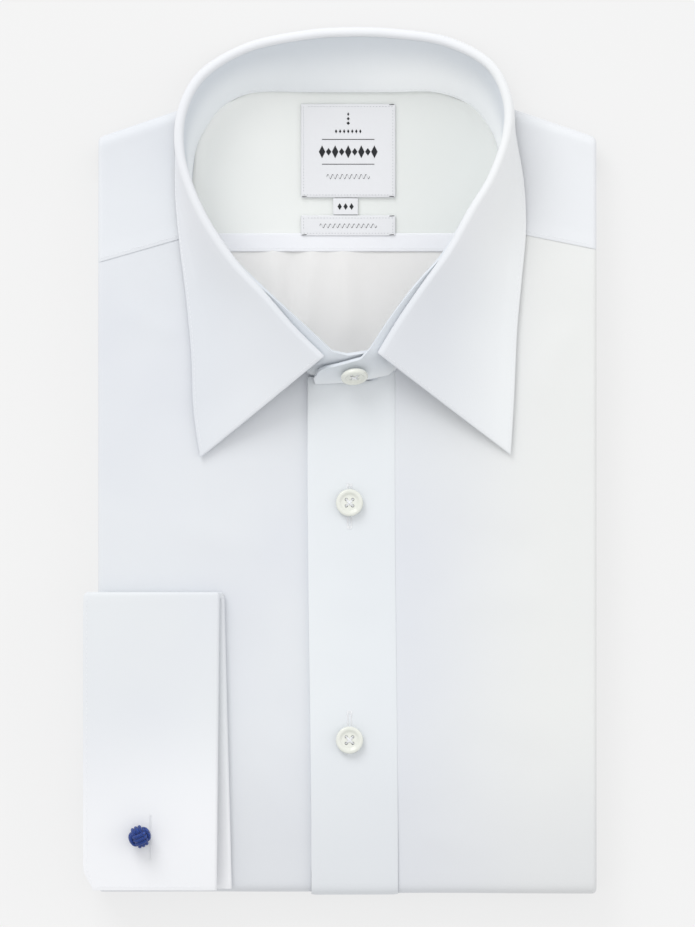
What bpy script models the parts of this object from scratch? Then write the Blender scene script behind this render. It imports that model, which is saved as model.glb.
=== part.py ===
"""A long sleeve dress shirt, buttoned and folded as for a shop shelf.

Blender 4.5. +Z up, the table at z = 0, +Y from the bottom fold to the collar. Sizes are worked out in
millimetres and turned to metres where a mesh is made. Left and right are the wearer's, so the left front,
which carries the placket and buttons over the right one, lies at +X.
"""

import math
from typing import NamedTuple

import bmesh
import bpy
from mathutils import Matrix, Vector

METRES = 0.001
CLEAR = 0.3  # between pieces that touch

# Cloth walls
FRONT_WALL = 1.2
PLACKET_WALL = 2.0
BAND_WALL = 1.6
LEAF_WALL = 1.5
INNER_WALL = 1.4
LABEL_WALL = 1.0
CUFF_WALL = 1.3
SLEEVE_WALL = 2.4

# Folded body
BODY_RIGHT_X, BODY_LEFT_X = -101.6, 107.8  # folded side edges
CENTRE_X = 4.0  # line of the buttons
FRONT_HEIGHT = 17.0
FOLD_RADIUS = FRONT_HEIGHT / 2
FOLD_AXIS_Y = -172.5  # axis of the bottom fold
ARC_END = -FOLD_AXIS_Y + math.pi * FOLD_RADIUS  # way down the cloth where the fold meets the table
TAIL_END_Y = 118.0  # where the tail, folded up underneath, ends
EDGE_RADIUS = 1.9  # round of the folded side edges
EDGE_TURN = 8.0  # cloth turned under at the side edges
SHOULDER_RADIUS = 4.7
SHOULDER_Y = 136.1  # shoulder line at the side edges
SHOULDER_SLOPE = 0.342
BACK_NECK_Y = 153.5
NECK_WIDEST_Y = 114.0  # where the neck seam turns from the fronts to the back
NECK_MIDDLE_Y = 105.0
SHOULDER_DROP = 4.5
DROP_START_Y, DROP_END_Y = 70.0, 140.0  # where the fronts slope down to the shoulders
NECK_SWELL = 2.0  # how far the fronts rise round the collar
SWELL_WIDE, SWELL_LONG, SWELL_Y = 45.0, 28.0, 45.0
LEFT_FRONT_STEP = 1.8  # left front over right, at the placket seam
STEP_FADE_X = (24.0, 62.0)  # where that step dies out towards the side
STEP_TURN_Y = -120.0  # where it starts to change to the bottom fold's
PLACKET_STEP = CLEAR + PLACKET_WALL
UNDERLAP_X = 16.0  # inner edge of the right front, under the placket
TOP_ROWS = 9  # rows of each front from its upper edge to the bottom fold
FOLD_STEP = 1.3  # how far the left front stands out at the bottom fold
YOKE_SEAM_RIGHT = ((-101.6, 84.4), (-69.3, 93.7))
YOKE_SEAM_LEFT = ((107.9, 89.9), (78.5, 95.8))

# Hidden layers, measured from the axis of the bottom fold
LAYERS_ABOVE, LAYERS_BELOW = 6.4, 5.9
THIN_LAYERS = 4.0  # where the fronts' edges turn under

# Inside of the neck
INNER_Z = 10.0
INNER_RISE = 2.5  # towards the back neck seam
BACK_LOW_Y, INNER_SEAM_Y, INNER_TOP_Y = 39.5, 89.0, 154.4
INNER_MARGIN = 0.5  # from the walls of the recess
RECESS_FLOOR = INNER_Z - INNER_WALL - CLEAR

# Collar
ROLL_RADIUS = 2.0
ROLL_START = 0.8  # leaf below the roll on the inner side
BAND_BOW = 0.8
LIP_KNEE = 0.86  # share of the band's height where its top starts to lean in
LIP_RISE = 0.45  # of the lip, for each millimetre that it leans in
LIP_DROP = 2.1  # room for its wall under the leaf, at the full lip
FULL_LIP = 4.0

# Buttons
BUTTON_RADIUS = 11.43 / 2
BUTTON_THICKNESS = 2.6
BUTTON_HOLE_RADIUS = 0.75
BUTTON_HOLE_PITCH = 2.7
UPPER_BUTTON_Y, LOWER_BUTTON_Y = -17.5, -117.2
COLLAR_BUTTON_X = 5.9
BUTTON_SHARE = 0.45  # of the neckband's height, to the collar button's middle

# Double cuff, brought round the side edge onto the right front
CUFF_TOP_Y, CUFF_BOTTOM_Y = -55.0, -180.2
CUFF_REACH_X = -107.8
CUFF_UNDER_X = -103.8
CUFF_DOUBLE = 2 * CUFF_WALL + CLEAR
CUFF_INNER_Z = FRONT_HEIGHT + CLEAR + CUFF_DOUBLE
CUFF_SLEEVE_GAP = SLEEVE_WALL + 2 * CLEAR
CUFF_FOLD_Y = CUFF_TOP_Y - 5.0  # where the flat halves turn into the top fold
FOLD_WAY = 0.46  # share of the way round where the under half ends
FOLD_TAPER = 2.0  # the fold is narrower than the halves
LINK_Y = -157.9
LINK_SWELL, LINK_SWELL_LONG = 3.6, 26.0  # how far the cuff's halves stand apart beside the link
MIDDLE_SWELL, MIDDLE_SWELL_LONG, MIDDLE_SWELL_Y = 1.6, 30.0, -110.0
WRIST_PINCH = 1.4  # how much closer the halves lie elsewhere along the wrist edge
SLEEVE_LOW_Z = 6.5
SLEEVE_CORNER = 3.6
SLEEVE_UPPER_X, SLEEVE_LOWER_X = -97.7, -96.4  # where its two ends lie
SLEEVE_YS = (-61.5, -63.0, -100.0, -140.0, -172.0, -173.5)
KNOT_X = -84.0
SLIT_X = -79.6
SLIT_LENGTH, SLIT_WIDTH = 19.0, 3.2
KNOT_RADIUS = 4.6


class CollarRow(NamedTuple):
    """One section through the collar: seam to the neckline, fold at the top, free edge of the leaf."""

    seam_x: float
    seam_y: float
    fold_x: float
    fold_y: float
    fold_z: float
    edge_x: float
    edge_y: float
    edge_z: float  # above the cloth below it, or above the table where hangs is 1
    hangs: float
    lip: float  # how far the band's top leans in past the fold


# From the right front point, round the back of the neck, to the left front point.
COLLAR = (
    CollarRow(-12.0, 37.2, -6.3, 44.0, 38.5, -58.8, 1.3, 2.1, 0, 4.0),
    CollarRow(-24.5, 48.5, -18.5, 56.0, 39.5, -61.6, 21.0, 2.1, 0, 3.5),
    CollarRow(-37.0, 62.5, -31.5, 71.0, 40.0, -62.6, 45.0, 2.1, 0, 1.2),
    CollarRow(-48.5, 77.5, -43.5, 84.5, 40.0, -64.8, 68.5, 2.1, 0, 0),
    CollarRow(-57.0, 92.5, -54.0, 100.0, 40.0, -67.6, 91.0, 2.1, 0, 0),
    CollarRow(-61.8, 111.0, -61.3, 115.5, 40.0, -69.4, 113.0, 2.1, 0, 0),
    CollarRow(-61.2, 128.0, -65.3, 131.0, 39.6, -69.0, 131.0, 2.3, 0, 0),
    CollarRow(-57.2, 138.6, -64.0, 146.5, 39.2, -67.8, 147.2, 2.6, 0, 0),
    CollarRow(-48.8, 149.2, -56.0, 160.5, 38.8, -59.8, 163.7, 6.0, 1, 0),
    CollarRow(-36.0, 154.8, -38.0, 171.4, 38.3, -40.0, 175.6, 2.4, 1, 0),
    CollarRow(-14.0, 155.0, -14.0, 176.5, 38.0, -14.5, 181.0, 2.0, 1, 0),
    CollarRow(3.5, 155.0, 4.0, 177.7, 38.0, 4.0, 182.3, 2.0, 1, 0),
    CollarRow(22.0, 155.0, 22.0, 177.1, 38.0, 22.5, 181.6, 2.0, 1, 0),
    CollarRow(40.0, 155.0, 43.0, 174.0, 38.3, 45.5, 178.5, 2.4, 1, 0),
    CollarRow(54.0, 150.0, 60.5, 165.2, 38.8, 64.0, 168.4, 6.0, 1, 0),
    CollarRow(61.5, 142.0, 68.0, 151.5, 39.2, 72.3, 152.2, 2.6, 0, 0),
    CollarRow(66.2, 132.0, 68.0, 137.0, 39.6, 74.0, 137.5, 2.3, 0, 0),
    CollarRow(67.3, 117.0, 62.0, 119.5, 40.0, 77.4, 117.5, 2.1, 0, 0),
    CollarRow(63.5, 99.0, 53.3, 105.0, 40.0, 78.3, 98.0, 2.1, 0, 0),
    CollarRow(55.5, 80.5, 44.0, 88.0, 40.0, 76.5, 77.0, 2.1, 0, 0.6),
    CollarRow(43.5, 63.0, 33.0, 72.5, 40.0, 74.5, 55.0, 2.1, 0, 2.4),
    CollarRow(32.0, 48.5, 23.5, 58.5, 39.5, 73.3, 28.0, 2.1, 0, 3.2),
    CollarRow(20.0, 37.2, 15.5, 45.3, 38.5, 71.8, 2.5, 2.1, 0, 3.8),
)


class BandRow(NamedTuple):
    """One section through an end of the neckband, past the leaf."""

    seam_x: float
    seam_y: float
    step: float  # of the seam above the right front
    top_x: float
    top_y: float
    top_z: float


# The right end goes behind the left one, which carries the collar button.
BAND_RIGHT_END = (
    BandRow(12.0, 36.0, 0.3, 12.5, 46.6, 33.0),
    BandRow(0.0, 35.6, 0.3, 3.0, 45.2, 34.4),
)
BAND_LEFT_END = (
    BandRow(7.0, 33.3, 2.6, 8.8, 43.7, 34.8),
    BandRow(-1.0, 32.8, 2.6, -0.4, 41.2, 33.4),
    BandRow(-8.6, 32.6, 2.6, -8.2, 39.2, 31.4),
    BandRow(-10.6, 32.7, 2.6, -10.6, 36.4, 27.4),
)


class Label(NamedTuple):
    """A flat label on the yoke inside the neck."""

    node: str
    low_x: float
    high_x: float
    low_y: float
    high_y: float


LABELS = (
    Label("label_main", -16.4, 23.3, 110.8, 150.1),
    Label("label_size", -2.9, 7.6, 103.6, 110.5),
    Label("label_lower", -16.4, 23.3, 94.7, 103.3),
)


class RimRow(NamedTuple):
    """One edge of the hidden layers, from the lowest to the highest."""

    height: float  # share of the layers' height there
    plain_inset: float
    sleeve_inset: float  # beside the sleeve, whose end lies between the layers


RIM = (
    RimRow(0.0, 0.0, 0.0),
    RimRow(0.2, 0.0, 0.0),
    RimRow(0.215, 2.5, 5.8),
    RimRow(0.34, 2.5, 5.8),
    RimRow(0.36, 0.8, 5.8),
    RimRow(0.6, 0.8, 5.8),
    RimRow(0.62, 0.8, 0.8),
    RimRow(0.68, 2.2, 2.2),
    RimRow(0.74, 2.2, 2.2),
    RimRow(0.76, 0.0, 0.0),
    RimRow(1.0, 0.0, 0.0),
)


# ---------------------------------------------------------------- numbers and curves


def mix(low, high, share):
    return low + (high - low) * share


def smooth(low, high, value):
    share = min(max((value - low) / (high - low), 0.0), 1.0)
    return share * share * (3 - 2 * share)


def steps(low, high, count):
    """count + 1 values from low to high."""
    return [mix(low, high, i / count) for i in range(count + 1)]


def line_y(ends, x):
    """Height at x of the straight line through two (x, y) ends."""
    (x0, y0), (x1, y1) = ends
    return mix(y0, y1, (x - x0) / (x1 - x0))


def catmull_rom(before, start, end, after, t):
    """The value at t from start (0) to end (1) of the smooth curve through four values."""
    rise = (end - before) * t
    bend = (2 * before - 5 * start + 4 * end - after) * t * t
    twist = (3 * start - before - 3 * end + after) * t**3
    return start + (rise + bend + twist) / 2


def through(rows, each):
    """The rows with each sections from row to row, on a smooth curve through all their columns."""
    kind = type(rows[0])
    found = []
    for i in range(len(rows) - 1):
        four = rows[max(i - 1, 0)], rows[i], rows[i + 1], rows[min(i + 2, len(rows) - 1)]
        for t in steps(0.0, 1.0, each)[:-1]:
            found.append(kind(*(catmull_rom(*values, t) for values in zip(*four))))
    return found + [rows[-1]]


def y_at(path, x):
    """Height at x of a path of (x, y) points in the order of x, or None past its ends."""
    for start, end in zip(path, path[1:]):
        if start[0] <= x <= end[0]:
            return line_y((start, end), x)
    return None


def bezier(start, start_way, end, end_way, count):
    """count + 1 points of a cubic that leaves start and reaches end along the ways given."""
    reach = (end - start).length / 3
    first, second = start + start_way * reach, end - end_way * reach
    return [
        start * (1 - t) ** 3 + first * (3 * t * (1 - t) ** 2) + second * (3 * t * t * (1 - t)) + end * t**3
        for t in steps(0.0, 1.0, count)
    ]


# ---------------------------------------------------------------- the scene


def clear_scene():
    for obj in list(bpy.data.objects):
        bpy.data.objects.remove(obj, do_unlink=True)


def new_collection(name):
    collection = bpy.data.collections.new(name)
    bpy.context.scene.collection.children.link(collection)
    return collection


def new_material(name, colour, roughness, sheen=0.0):
    material = bpy.data.materials.new(name)
    material.use_nodes = True
    shader = material.node_tree.nodes["Principled BSDF"]
    shader.inputs["Base Color"].default_value = (*colour, 1)
    shader.inputs["Roughness"].default_value = roughness
    shader.inputs["Metallic"].default_value = 0.0
    shader.inputs["Sheen Weight"].default_value = sheen
    material.diffuse_color = (*colour, 1)
    return material


def add_object(name, bm, material, collection):
    mesh = bpy.data.meshes.new(name)
    bm.to_mesh(mesh)
    bm.free()
    mesh.shade_smooth()
    mesh.set_sharp_from_angle(angle=math.radians(40))
    obj = bpy.data.objects.new(name, mesh)
    collection.objects.link(obj)
    if material:
        mesh.materials.append(material)
    return obj


def lofted(rows):
    """An open surface through rows of points of equal length, in millimetres."""
    bm = bmesh.new()
    made = [[bm.verts.new(Vector(point) * METRES) for point in row] for row in rows]
    for low, high in zip(made, made[1:]):
        for i in range(len(low) - 1):
            bm.faces.new((low[i], low[i + 1], high[i + 1], high[i]))
    return bm


def cloth(name, rows, wall, material, collection):
    """A piece of cloth whose outer face runs through the rows, with its wall behind that face."""
    obj = add_object(name, lofted(rows), material, collection)
    solidify = obj.modifiers.new("wall", "SOLIDIFY")
    solidify.thickness = wall * METRES
    solidify.offset = -1
    return obj


def cut(obj, cutter):
    cutter.hide_render = True
    cutter.display_type = "WIRE"
    boolean = obj.modifiers.new("cut", "BOOLEAN")
    boolean.operation = "DIFFERENCE"
    boolean.object = cutter


def prism(name, outline, low, high, collection):
    """A closed upright prism on an (x, y) outline, as a cutter."""
    bm = bmesh.new()
    base = bm.faces.new([bm.verts.new(Vector((x, y, low)) * METRES) for x, y in outline])
    raised = bmesh.ops.extrude_face_region(bm, geom=[base])
    top = [part for part in raised["geom"] if isinstance(part, bmesh.types.BMVert)]
    bmesh.ops.translate(bm, verts=top, vec=Vector((0, 0, (high - low) * METRES)))
    bmesh.ops.recalc_face_normals(bm, faces=bm.faces)
    return add_object(name, bm, None, collection)


# ---------------------------------------------------------------- the body's form


def front_z(x, y):
    """Height of the right front's outer face on top of the folded shirt."""
    across, along = (x - CENTRE_X) / SWELL_WIDE, (y - SWELL_Y) / SWELL_LONG
    swell = NECK_SWELL * math.exp(-(across * across + along * along) / 2)
    return FRONT_HEIGHT + swell - SHOULDER_DROP * smooth(DROP_START_Y, DROP_END_Y, y)


def on_body(x, down, out):
    """The point at x and down the cloth from y = 0, standing out from the right front's face.

    The way goes over the top, round the bottom fold and back under the shirt, where the face is the table.
    """
    if down < -FOLD_AXIS_Y:
        return Vector((x, -down, front_z(x, -down) + out))
    turn = (down + FOLD_AXIS_Y) / FOLD_RADIUS
    if turn < math.pi:
        radius = FOLD_RADIUS + out
        return Vector((x, FOLD_AXIS_Y - radius * math.sin(turn), FOLD_RADIUS + radius * math.cos(turn)))
    return Vector((x, FOLD_AXIS_Y + down - ARC_END, -out))


def ways_down(top_y):
    """Distances down the cloth from top_y to the end of the folded-up tail."""
    tail = ARC_END - FOLD_AXIS_Y + TAIL_END_Y
    on_top = steps(-top_y, -FOLD_AXIS_Y, TOP_ROWS)
    round_fold = steps(-FOLD_AXIS_Y, ARC_END, 8)[1:]
    return on_top + round_fold + steps(ARC_END, tail, 4)[1:]


def round_edge(edge_x, side):
    """(x, out) columns round a folded side edge and back under it. side is -1 on the right, 1 on the left."""
    middle = edge_x - side * EDGE_RADIUS
    arc = [
        (middle + side * EDGE_RADIUS * math.cos(turn), EDGE_RADIUS * (math.sin(turn) - 1))
        for turn in steps(math.pi / 2, -math.pi / 2, 6)
    ]
    return arc + [(middle - side * EDGE_TURN * share, -2 * EDGE_RADIUS) for share in (0.5, 1.0)]


def under_table_share(down):
    """0 on top of the shirt, 1 where the cloth has turned under it."""
    return smooth(-FOLD_AXIS_Y, ARC_END, down)


def shoulder_y(x):
    """The shoulder line, folded over, and the back of the neck between the two slopes."""
    return min(BACK_NECK_Y, SHOULDER_Y + SHOULDER_SLOPE * min(x - BODY_RIGHT_X, BODY_LEFT_X - x))


def collar_sections():
    return through(COLLAR, 2)


def neck_seam():
    """(x, y) points of the seam round the neck."""
    return [(row.seam_x, row.seam_y) for row in through(COLLAR, 4)]


def neckline_y(x):
    """The front neckline at x."""
    front = sorted(point for point in neck_seam() if point[1] < NECK_WIDEST_Y)
    return y_at(front, x) or NECK_WIDEST_Y


def back_seam_y(x, side):
    """The collar seam behind one shoulder at x. side is -1 on the right, 1 on the left."""
    back = [point for point in neck_seam() if point[1] > NECK_WIDEST_Y]
    half = sorted(point for point in back if (point[0] - CENTRE_X) * side > 0)
    return y_at(half, x) or NECK_WIDEST_Y


def neck_span(y):
    """The two x of the neck's seam at y."""
    seam = neck_seam()
    found = []
    for start, end in zip(seam, seam[1:]):
        low, high = sorted((start[1], end[1]))
        if low <= y < high:
            found.append(mix(start[0], end[0], (y - start[1]) / (end[1] - start[1])))
    return min(found), max(found)


def inner_z(y):
    """Height of the back and the yoke inside the neck."""
    return INNER_Z + INNER_RISE * smooth(105.0, 155.0, y)


# ---------------------------------------------------------------- body pieces


def front_right(material, collection):
    """The right front, from under the placket round the side edge, and down over the bottom fold.

    At the fold its inner edge draws back to the placket's, so that both lie flush underneath.
    """
    columns = (UNDERLAP_X, 8.0, 0.0, -8.0, -16.0, -25.0, -35.0, -45.0, -54.0, -60.0, -64.0, -75.0, -88.0)
    rows = []
    ways = [ways_down(right_top_y(x)) for x in columns]
    edge = round_edge(BODY_RIGHT_X, -1)
    edge_ways = ways_down(right_top_y(BODY_RIGHT_X))
    for i in range(len(edge_ways)):
        row = []
        for x, way in zip(columns, ways):
            drawn_back = smooth(-FOLD_AXIS_Y - 30.0, -FOLD_AXIS_Y - 1.0, way[i])
            beside = placket_edges(way[i])[0] - CLEAR - 0.02 * (UNDERLAP_X - x)
            row.append(on_body(mix(x, min(x, beside), drawn_back), way[i], 0.0))
        row += [on_body(x, edge_ways[i], out) for x, out in edge]
        rows.append(row)
    return cloth("front_right", rows, FRONT_WALL, material, collection)


def right_top_y(x):
    return min(line_y(YOKE_SEAM_RIGHT, x) - CLEAR / 2, neckline_y(x))


def left_top_y(x):
    return min(line_y(YOKE_SEAM_LEFT, x) - CLEAR / 2, neckline_y(x))


def left_out(x, down):
    """How far the left front stands out from the right front's face."""
    on_top = LEFT_FRONT_STEP * (1 - smooth(*STEP_FADE_X, x))
    at_fold = mix(on_top, FOLD_STEP, smooth(-STEP_TURN_Y, -FOLD_AXIS_Y + FOLD_RADIUS, down))
    return at_fold * (1 - under_table_share(down))


def front_left(material, collection):
    """The left front, from the placket seam round the other side edge."""
    columns = (0.0, 4.0, 10.0, 17.0, 25.0, 33.0, 39.0, 44.0, 56.0, 68.0)
    edge = round_edge(BODY_LEFT_X, 1)
    edge_ways = ways_down(left_top_y(BODY_LEFT_X))
    seam_x = placket_edges(0.0)[1] + CLEAR
    ways = [ways_down(left_top_y(seam_x + x)) for x in columns]
    rows = []
    for i in range(len(edge_ways)):
        row = []
        for x, way in zip(columns, ways):
            start = placket_edges(way[i])[1] + CLEAR
            shown_x = start + x * (BODY_LEFT_X - start) / (BODY_LEFT_X - seam_x)
            row.append(on_body(shown_x, way[i], left_out(shown_x, way[i])))
        row += [on_body(x, edge_ways[i], left_out(x, edge_ways[i]) + out) for x, out in edge]
        rows.append(row[::-1])
    return cloth("front_left", rows, FRONT_WALL, material, collection)


def placket_edges(down):
    """The two long edges of the placket, a little askew as the shirt lies."""
    low = smooth(0.0, -FOLD_AXIS_Y, down)
    return -13.65 + 1.6 * low, 23.1 + 1.3 * low


def placket(material, collection):
    """The placket strip, on the right front on top and flush with it underneath."""
    # Share of the way across, how far its edges are pressed down, and where it ends under the neckband.
    columns = ((0.0, 0.25, 33.6), (0.04, 0.0, 33.6), (0.72, 0.0, 33.6), (0.96, 0.0, 37.0), (1.0, 0.25, 38.0))
    ways = [ways_down(top_y) for _, _, top_y in columns]
    rows = []
    for i in range(len(ways[0])):
        row = []
        for (share, sink, _), way in zip(columns, ways):
            x = mix(*placket_edges(way[i]), share)
            out = mix(PLACKET_STEP, 0.0, under_table_share(way[i])) - sink
            row.append(on_body(x, way[i], out))
        rows.append(row[::-1])
    return cloth("placket", rows, PLACKET_WALL, material, collection)


def yoke(name, side, material, collection):
    """One shoulder of the yoke, from its forward seam over the shoulder line. side is -1 on the right."""
    edge_x = BODY_RIGHT_X if side < 0 else BODY_LEFT_X
    seam = YOKE_SEAM_RIGHT if side < 0 else YOKE_SEAM_LEFT
    # Distances in from the side edge: straight cloth first, then along the back of the neck.
    shoulder_columns = (38.8, 33.0, 26.0, 14.0, 7.0)
    neck_columns = (51.0, 48.0, 45.0, 42.0, 39.2)
    columns = [(edge_x - side * x, 0.0) for x in neck_columns + shoulder_columns] + round_edge(edge_x, side)
    lines = []
    for x, out in columns:
        inward = abs(x - edge_x)
        bottom = line_y(seam, x) + CLEAR / 2
        if inward > shoulder_columns[0]:
            bottom = back_seam_y(x, side)
        lines.append(over_shoulder(x, bottom, out))
    rows = [list(row) for row in zip(*lines)]
    if side > 0:
        rows = [row[::-1] for row in rows]
    return cloth(name, rows[::-1], FRONT_WALL, material, collection)


def over_shoulder(x, bottom_y, out):
    """Points from bottom_y up to the shoulder line and round it."""
    axis_y = shoulder_y(x) - SHOULDER_RADIUS
    axis_z = front_z(x, axis_y) - SHOULDER_RADIUS
    flat = [Vector((x, y, front_z(x, y) + out)) for y in steps(min(bottom_y, axis_y - 0.5), axis_y, 5)]
    radius = SHOULDER_RADIUS + out
    arc = [
        Vector((x, axis_y + radius * math.sin(turn), axis_z + radius * math.cos(turn)))
        for turn in steps(0.0, math.pi / 2, 5)[1:]
    ]
    return flat + arc


def inner_piece(name, low_y, high_y, count, material, collection):
    """The inside of the back or of the yoke, as wide as the neck."""
    rows = []
    for y in steps(low_y, high_y, count):
        left, right = neck_span(y)
        rows.append([Vector((x, y, inner_z(y))) for x in steps(left + INNER_MARGIN, right - INNER_MARGIN, 4)])
    return cloth(name, rows, INNER_WALL, material, collection)


def flat_label(label, material, collection):
    """A woven label on the yoke inside the neck."""
    raised = CLEAR + LABEL_WALL
    rows = [
        [Vector((x, y, inner_z(y) + raised)) for x in (label.low_x, label.high_x)]
        for y in steps(label.low_y, label.high_y, 4)
    ]
    return cloth(label.node, rows, LABEL_WALL, material, collection)


# ---------------------------------------------------------------- hidden layers


def layer_columns():
    """(x, thin) across the hidden layers. thin is 1 where the fronts' edges turn under."""
    inset, turned = 1.2, EDGE_RADIUS + EDGE_TURN
    right = [(BODY_RIGHT_X + inset, 1), (BODY_RIGHT_X + 6.0, 1), (BODY_RIGHT_X + turned + CLEAR, 1)]
    left = [(BODY_LEFT_X - inset, 1), (BODY_LEFT_X - 6.0, 1), (BODY_LEFT_X - turned - CLEAR, 1)]
    low, high = BODY_RIGHT_X + turned + 2 * CLEAR, BODY_LEFT_X - turned - 2 * CLEAR
    return right + [(x, 0) for x in steps(low, high, 10)] + left[::-1]


def layer_faces(x, y, thin):
    """Lowest and highest z of the hidden layers at a point."""
    middle, below, above = FOLD_RADIUS, THIN_LAYERS, THIN_LAYERS
    if not thin:
        below, above = LAYERS_BELOW, LAYERS_ABOVE
    if y < FOLD_AXIS_Y:
        share = math.sqrt(max(1 - ((FOLD_AXIS_Y - y) / above) ** 2, 0.0))
        return middle - below * share, middle + above * share
    low, high = middle - below, front_z(x, y) - middle + above
    axis_y = shoulder_y(x) - SHOULDER_RADIUS
    if y > axis_y and not thin:
        radius = SHOULDER_RADIUS - FRONT_WALL - CLEAR
        high = front_z(x, axis_y) - SHOULDER_RADIUS - 0.5 + math.sqrt(max(radius**2 - (y - axis_y) ** 2, 0.0))
    return low, high


def layer_rows(x, thin):
    """The y of the hidden layers along one column, from the bottom fold to the shoulder."""
    reach = THIN_LAYERS if thin else LAYERS_ABOVE
    fold = [FOLD_AXIS_Y - reach * math.sin(math.radians(turn)) for turn in (84, 60, 30)]
    axis_y = shoulder_y(x) - SHOULDER_RADIUS
    body = steps(FOLD_AXIS_Y, -60.0, 3) + steps(-48.0, 20.0, 2) + steps(45.0, 117.0, 4)
    radius = 0.0 if thin else SHOULDER_RADIUS - FRONT_WALL - CLEAR
    shoulder = [axis_y - 8.0, axis_y - 0.2, axis_y + radius * 0.6, axis_y + radius * 0.97]
    if thin:
        shoulder = [axis_y - 8.0, axis_y - 4.0, axis_y - 2.0, axis_y - 0.4]
    return fold + body + shoulder


def sleeve_share(x, y):
    """1 beside the sleeve at the right edge, 0 elsewhere."""
    if x > CENTRE_X:
        return 0.0
    return 1 - smooth(-55.0, -49.0, y)


def hidden_layers(material, collection, cutters):
    """Sides, back, sleeves and tail between the fronts and their folded-up ends, as one layered solid."""
    columns = layer_columns()
    ys = [layer_rows(x, thin) for x, thin in columns]
    wide, long = len(columns), len(ys[0])
    bm = bmesh.new()

    def corner(i, j, level):
        x, thin = columns[i]
        y = ys[i][j]
        low, high = layer_faces(x, y, thin)
        row = RIM[level]
        inset = mix(row.plain_inset, row.sleeve_inset, sleeve_share(x, y)) * min((high - low) / 8.0, 1.0)
        across = inset * ((i == 0) - (i == wide - 1))
        along = -inset * 0.5 * (j == long - 1)
        return bm.verts.new(Vector((x + across, y + along, mix(low, high, row.height))) * METRES)

    top = len(RIM) - 1
    faces = {
        level: {(i, j): corner(i, j, level) for i in range(wide) for j in range(long)} for level in (0, top)
    }
    border = (
        [(i, 0) for i in range(wide - 1)]
        + [(wide - 1, j) for j in range(long - 1)]
        + [(i, long - 1) for i in range(wide - 1, 0, -1)]
        + [(0, j) for j in range(long - 1, 0, -1)]
    )
    rings = [[faces[0][spot] for spot in border]]
    rings += [[corner(*spot, level) for spot in border] for level in range(1, top)]
    rings += [[faces[top][spot] for spot in border]]
    for i in range(wide - 1):
        for j in range(long - 1):
            square = ((i, j), (i + 1, j), (i + 1, j + 1), (i, j + 1))
            bm.faces.new([faces[top][spot] for spot in square])
            bm.faces.new([faces[0][spot] for spot in reversed(square)])
    for low, high in zip(rings, rings[1:]):
        for k in range(len(border)):
            after = (k + 1) % len(border)
            bm.faces.new((low[k], low[after], high[after], high[k]))
    body = add_object("hidden_layers", bm, material, collection)
    outline = [(row.seam_x, row.seam_y) for row in collar_sections()]
    outline[0:0] = [(12.0, 34.0), (-4.0, 34.0)]
    recess = prism("neck_recess", outline, RECESS_FLOOR, 60.0, cutters)
    cut(body, recess)
    return body


# ---------------------------------------------------------------- collar


def lap_out(x, y):
    """How far the left front or its placket stands above the right front's face at the neckline."""
    if x < CENTRE_X or y > NECK_WIDEST_Y:
        return 0.0
    return max(left_out(x, -y), PLACKET_STEP * (1 - smooth(23.5, 31.0, x)))


def leaf_edge_z(row):
    on_cloth = front_z(row.edge_x, row.edge_y) + row.edge_z
    return mix(on_cloth, row.edge_z, min(max(row.hangs, 0.0), 1.0))


def leaf_section(row):
    """The leaf's outer face: up the inner side, over the roll, and out to the free edge."""
    fold = Vector((row.fold_x, row.fold_y, row.fold_z))
    edge = Vector((row.edge_x, row.edge_y, leaf_edge_z(row)))
    out = Vector((edge.x - fold.x, edge.y - fold.y, 0)).normalized()
    up = Vector((0, 0, 1))
    axis = fold + out * ROLL_RADIUS - up * ROLL_RADIUS
    run = (Vector((edge.x, edge.y, 0)) - Vector((axis.x, axis.y, 0))).dot(out)
    fall = math.atan2(axis.z - edge.z + ROLL_RADIUS, max(run, 0.01))
    if run < 3.0:
        fall = math.radians(88)
    lying = smooth(8.0, 30.0, run)
    first_fall, last_fall = fall * mix(1.0, 1.2, lying), fall * mix(1.0, 0.35, lying)
    points = [axis - out * ROLL_RADIUS - up * ROLL_START]
    for turn in steps(math.pi, math.pi / 2 - first_fall, 5):
        points.append(axis + (out * math.cos(turn) + up * math.sin(turn)) * ROLL_RADIUS)
    start_way = out * math.cos(first_fall) - up * math.sin(first_fall)
    end_way = out * math.cos(last_fall) - up * math.sin(last_fall)
    return points + bezier(points[-1], start_way, edge, end_way, 6)[1:]


def collar_leaf(material, collection):
    rows = [leaf_section(row) for row in collar_sections()]
    return cloth("collar_leaf", rows[::-1], LEAF_WALL, material, collection)


def band_section(seam, leaf_seam, lip):
    """The neckband's inner face from its seam up to the leaf, bowed a little outwards, and over its lip."""
    out = Vector((seam.x - CENTRE_X, seam.y - NECK_MIDDLE_Y, 0)).normalized()
    knee = seam.lerp(leaf_seam, LIP_KNEE)
    points = [
        seam.lerp(knee, share) + out * BAND_BOW * math.sin(math.pi * share) for share in steps(0.0, 1.0, 4)
    ]
    return points + [leaf_seam + lip]


def band_end_section(row):
    """A section through an end of the neckband, which has no lip."""
    seam = Vector((row.seam_x, row.seam_y, front_z(row.seam_x, row.seam_y) + row.step))
    return band_section(seam, Vector((row.top_x, row.top_y, row.top_z)), Vector((0, 0, 0)))


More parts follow.
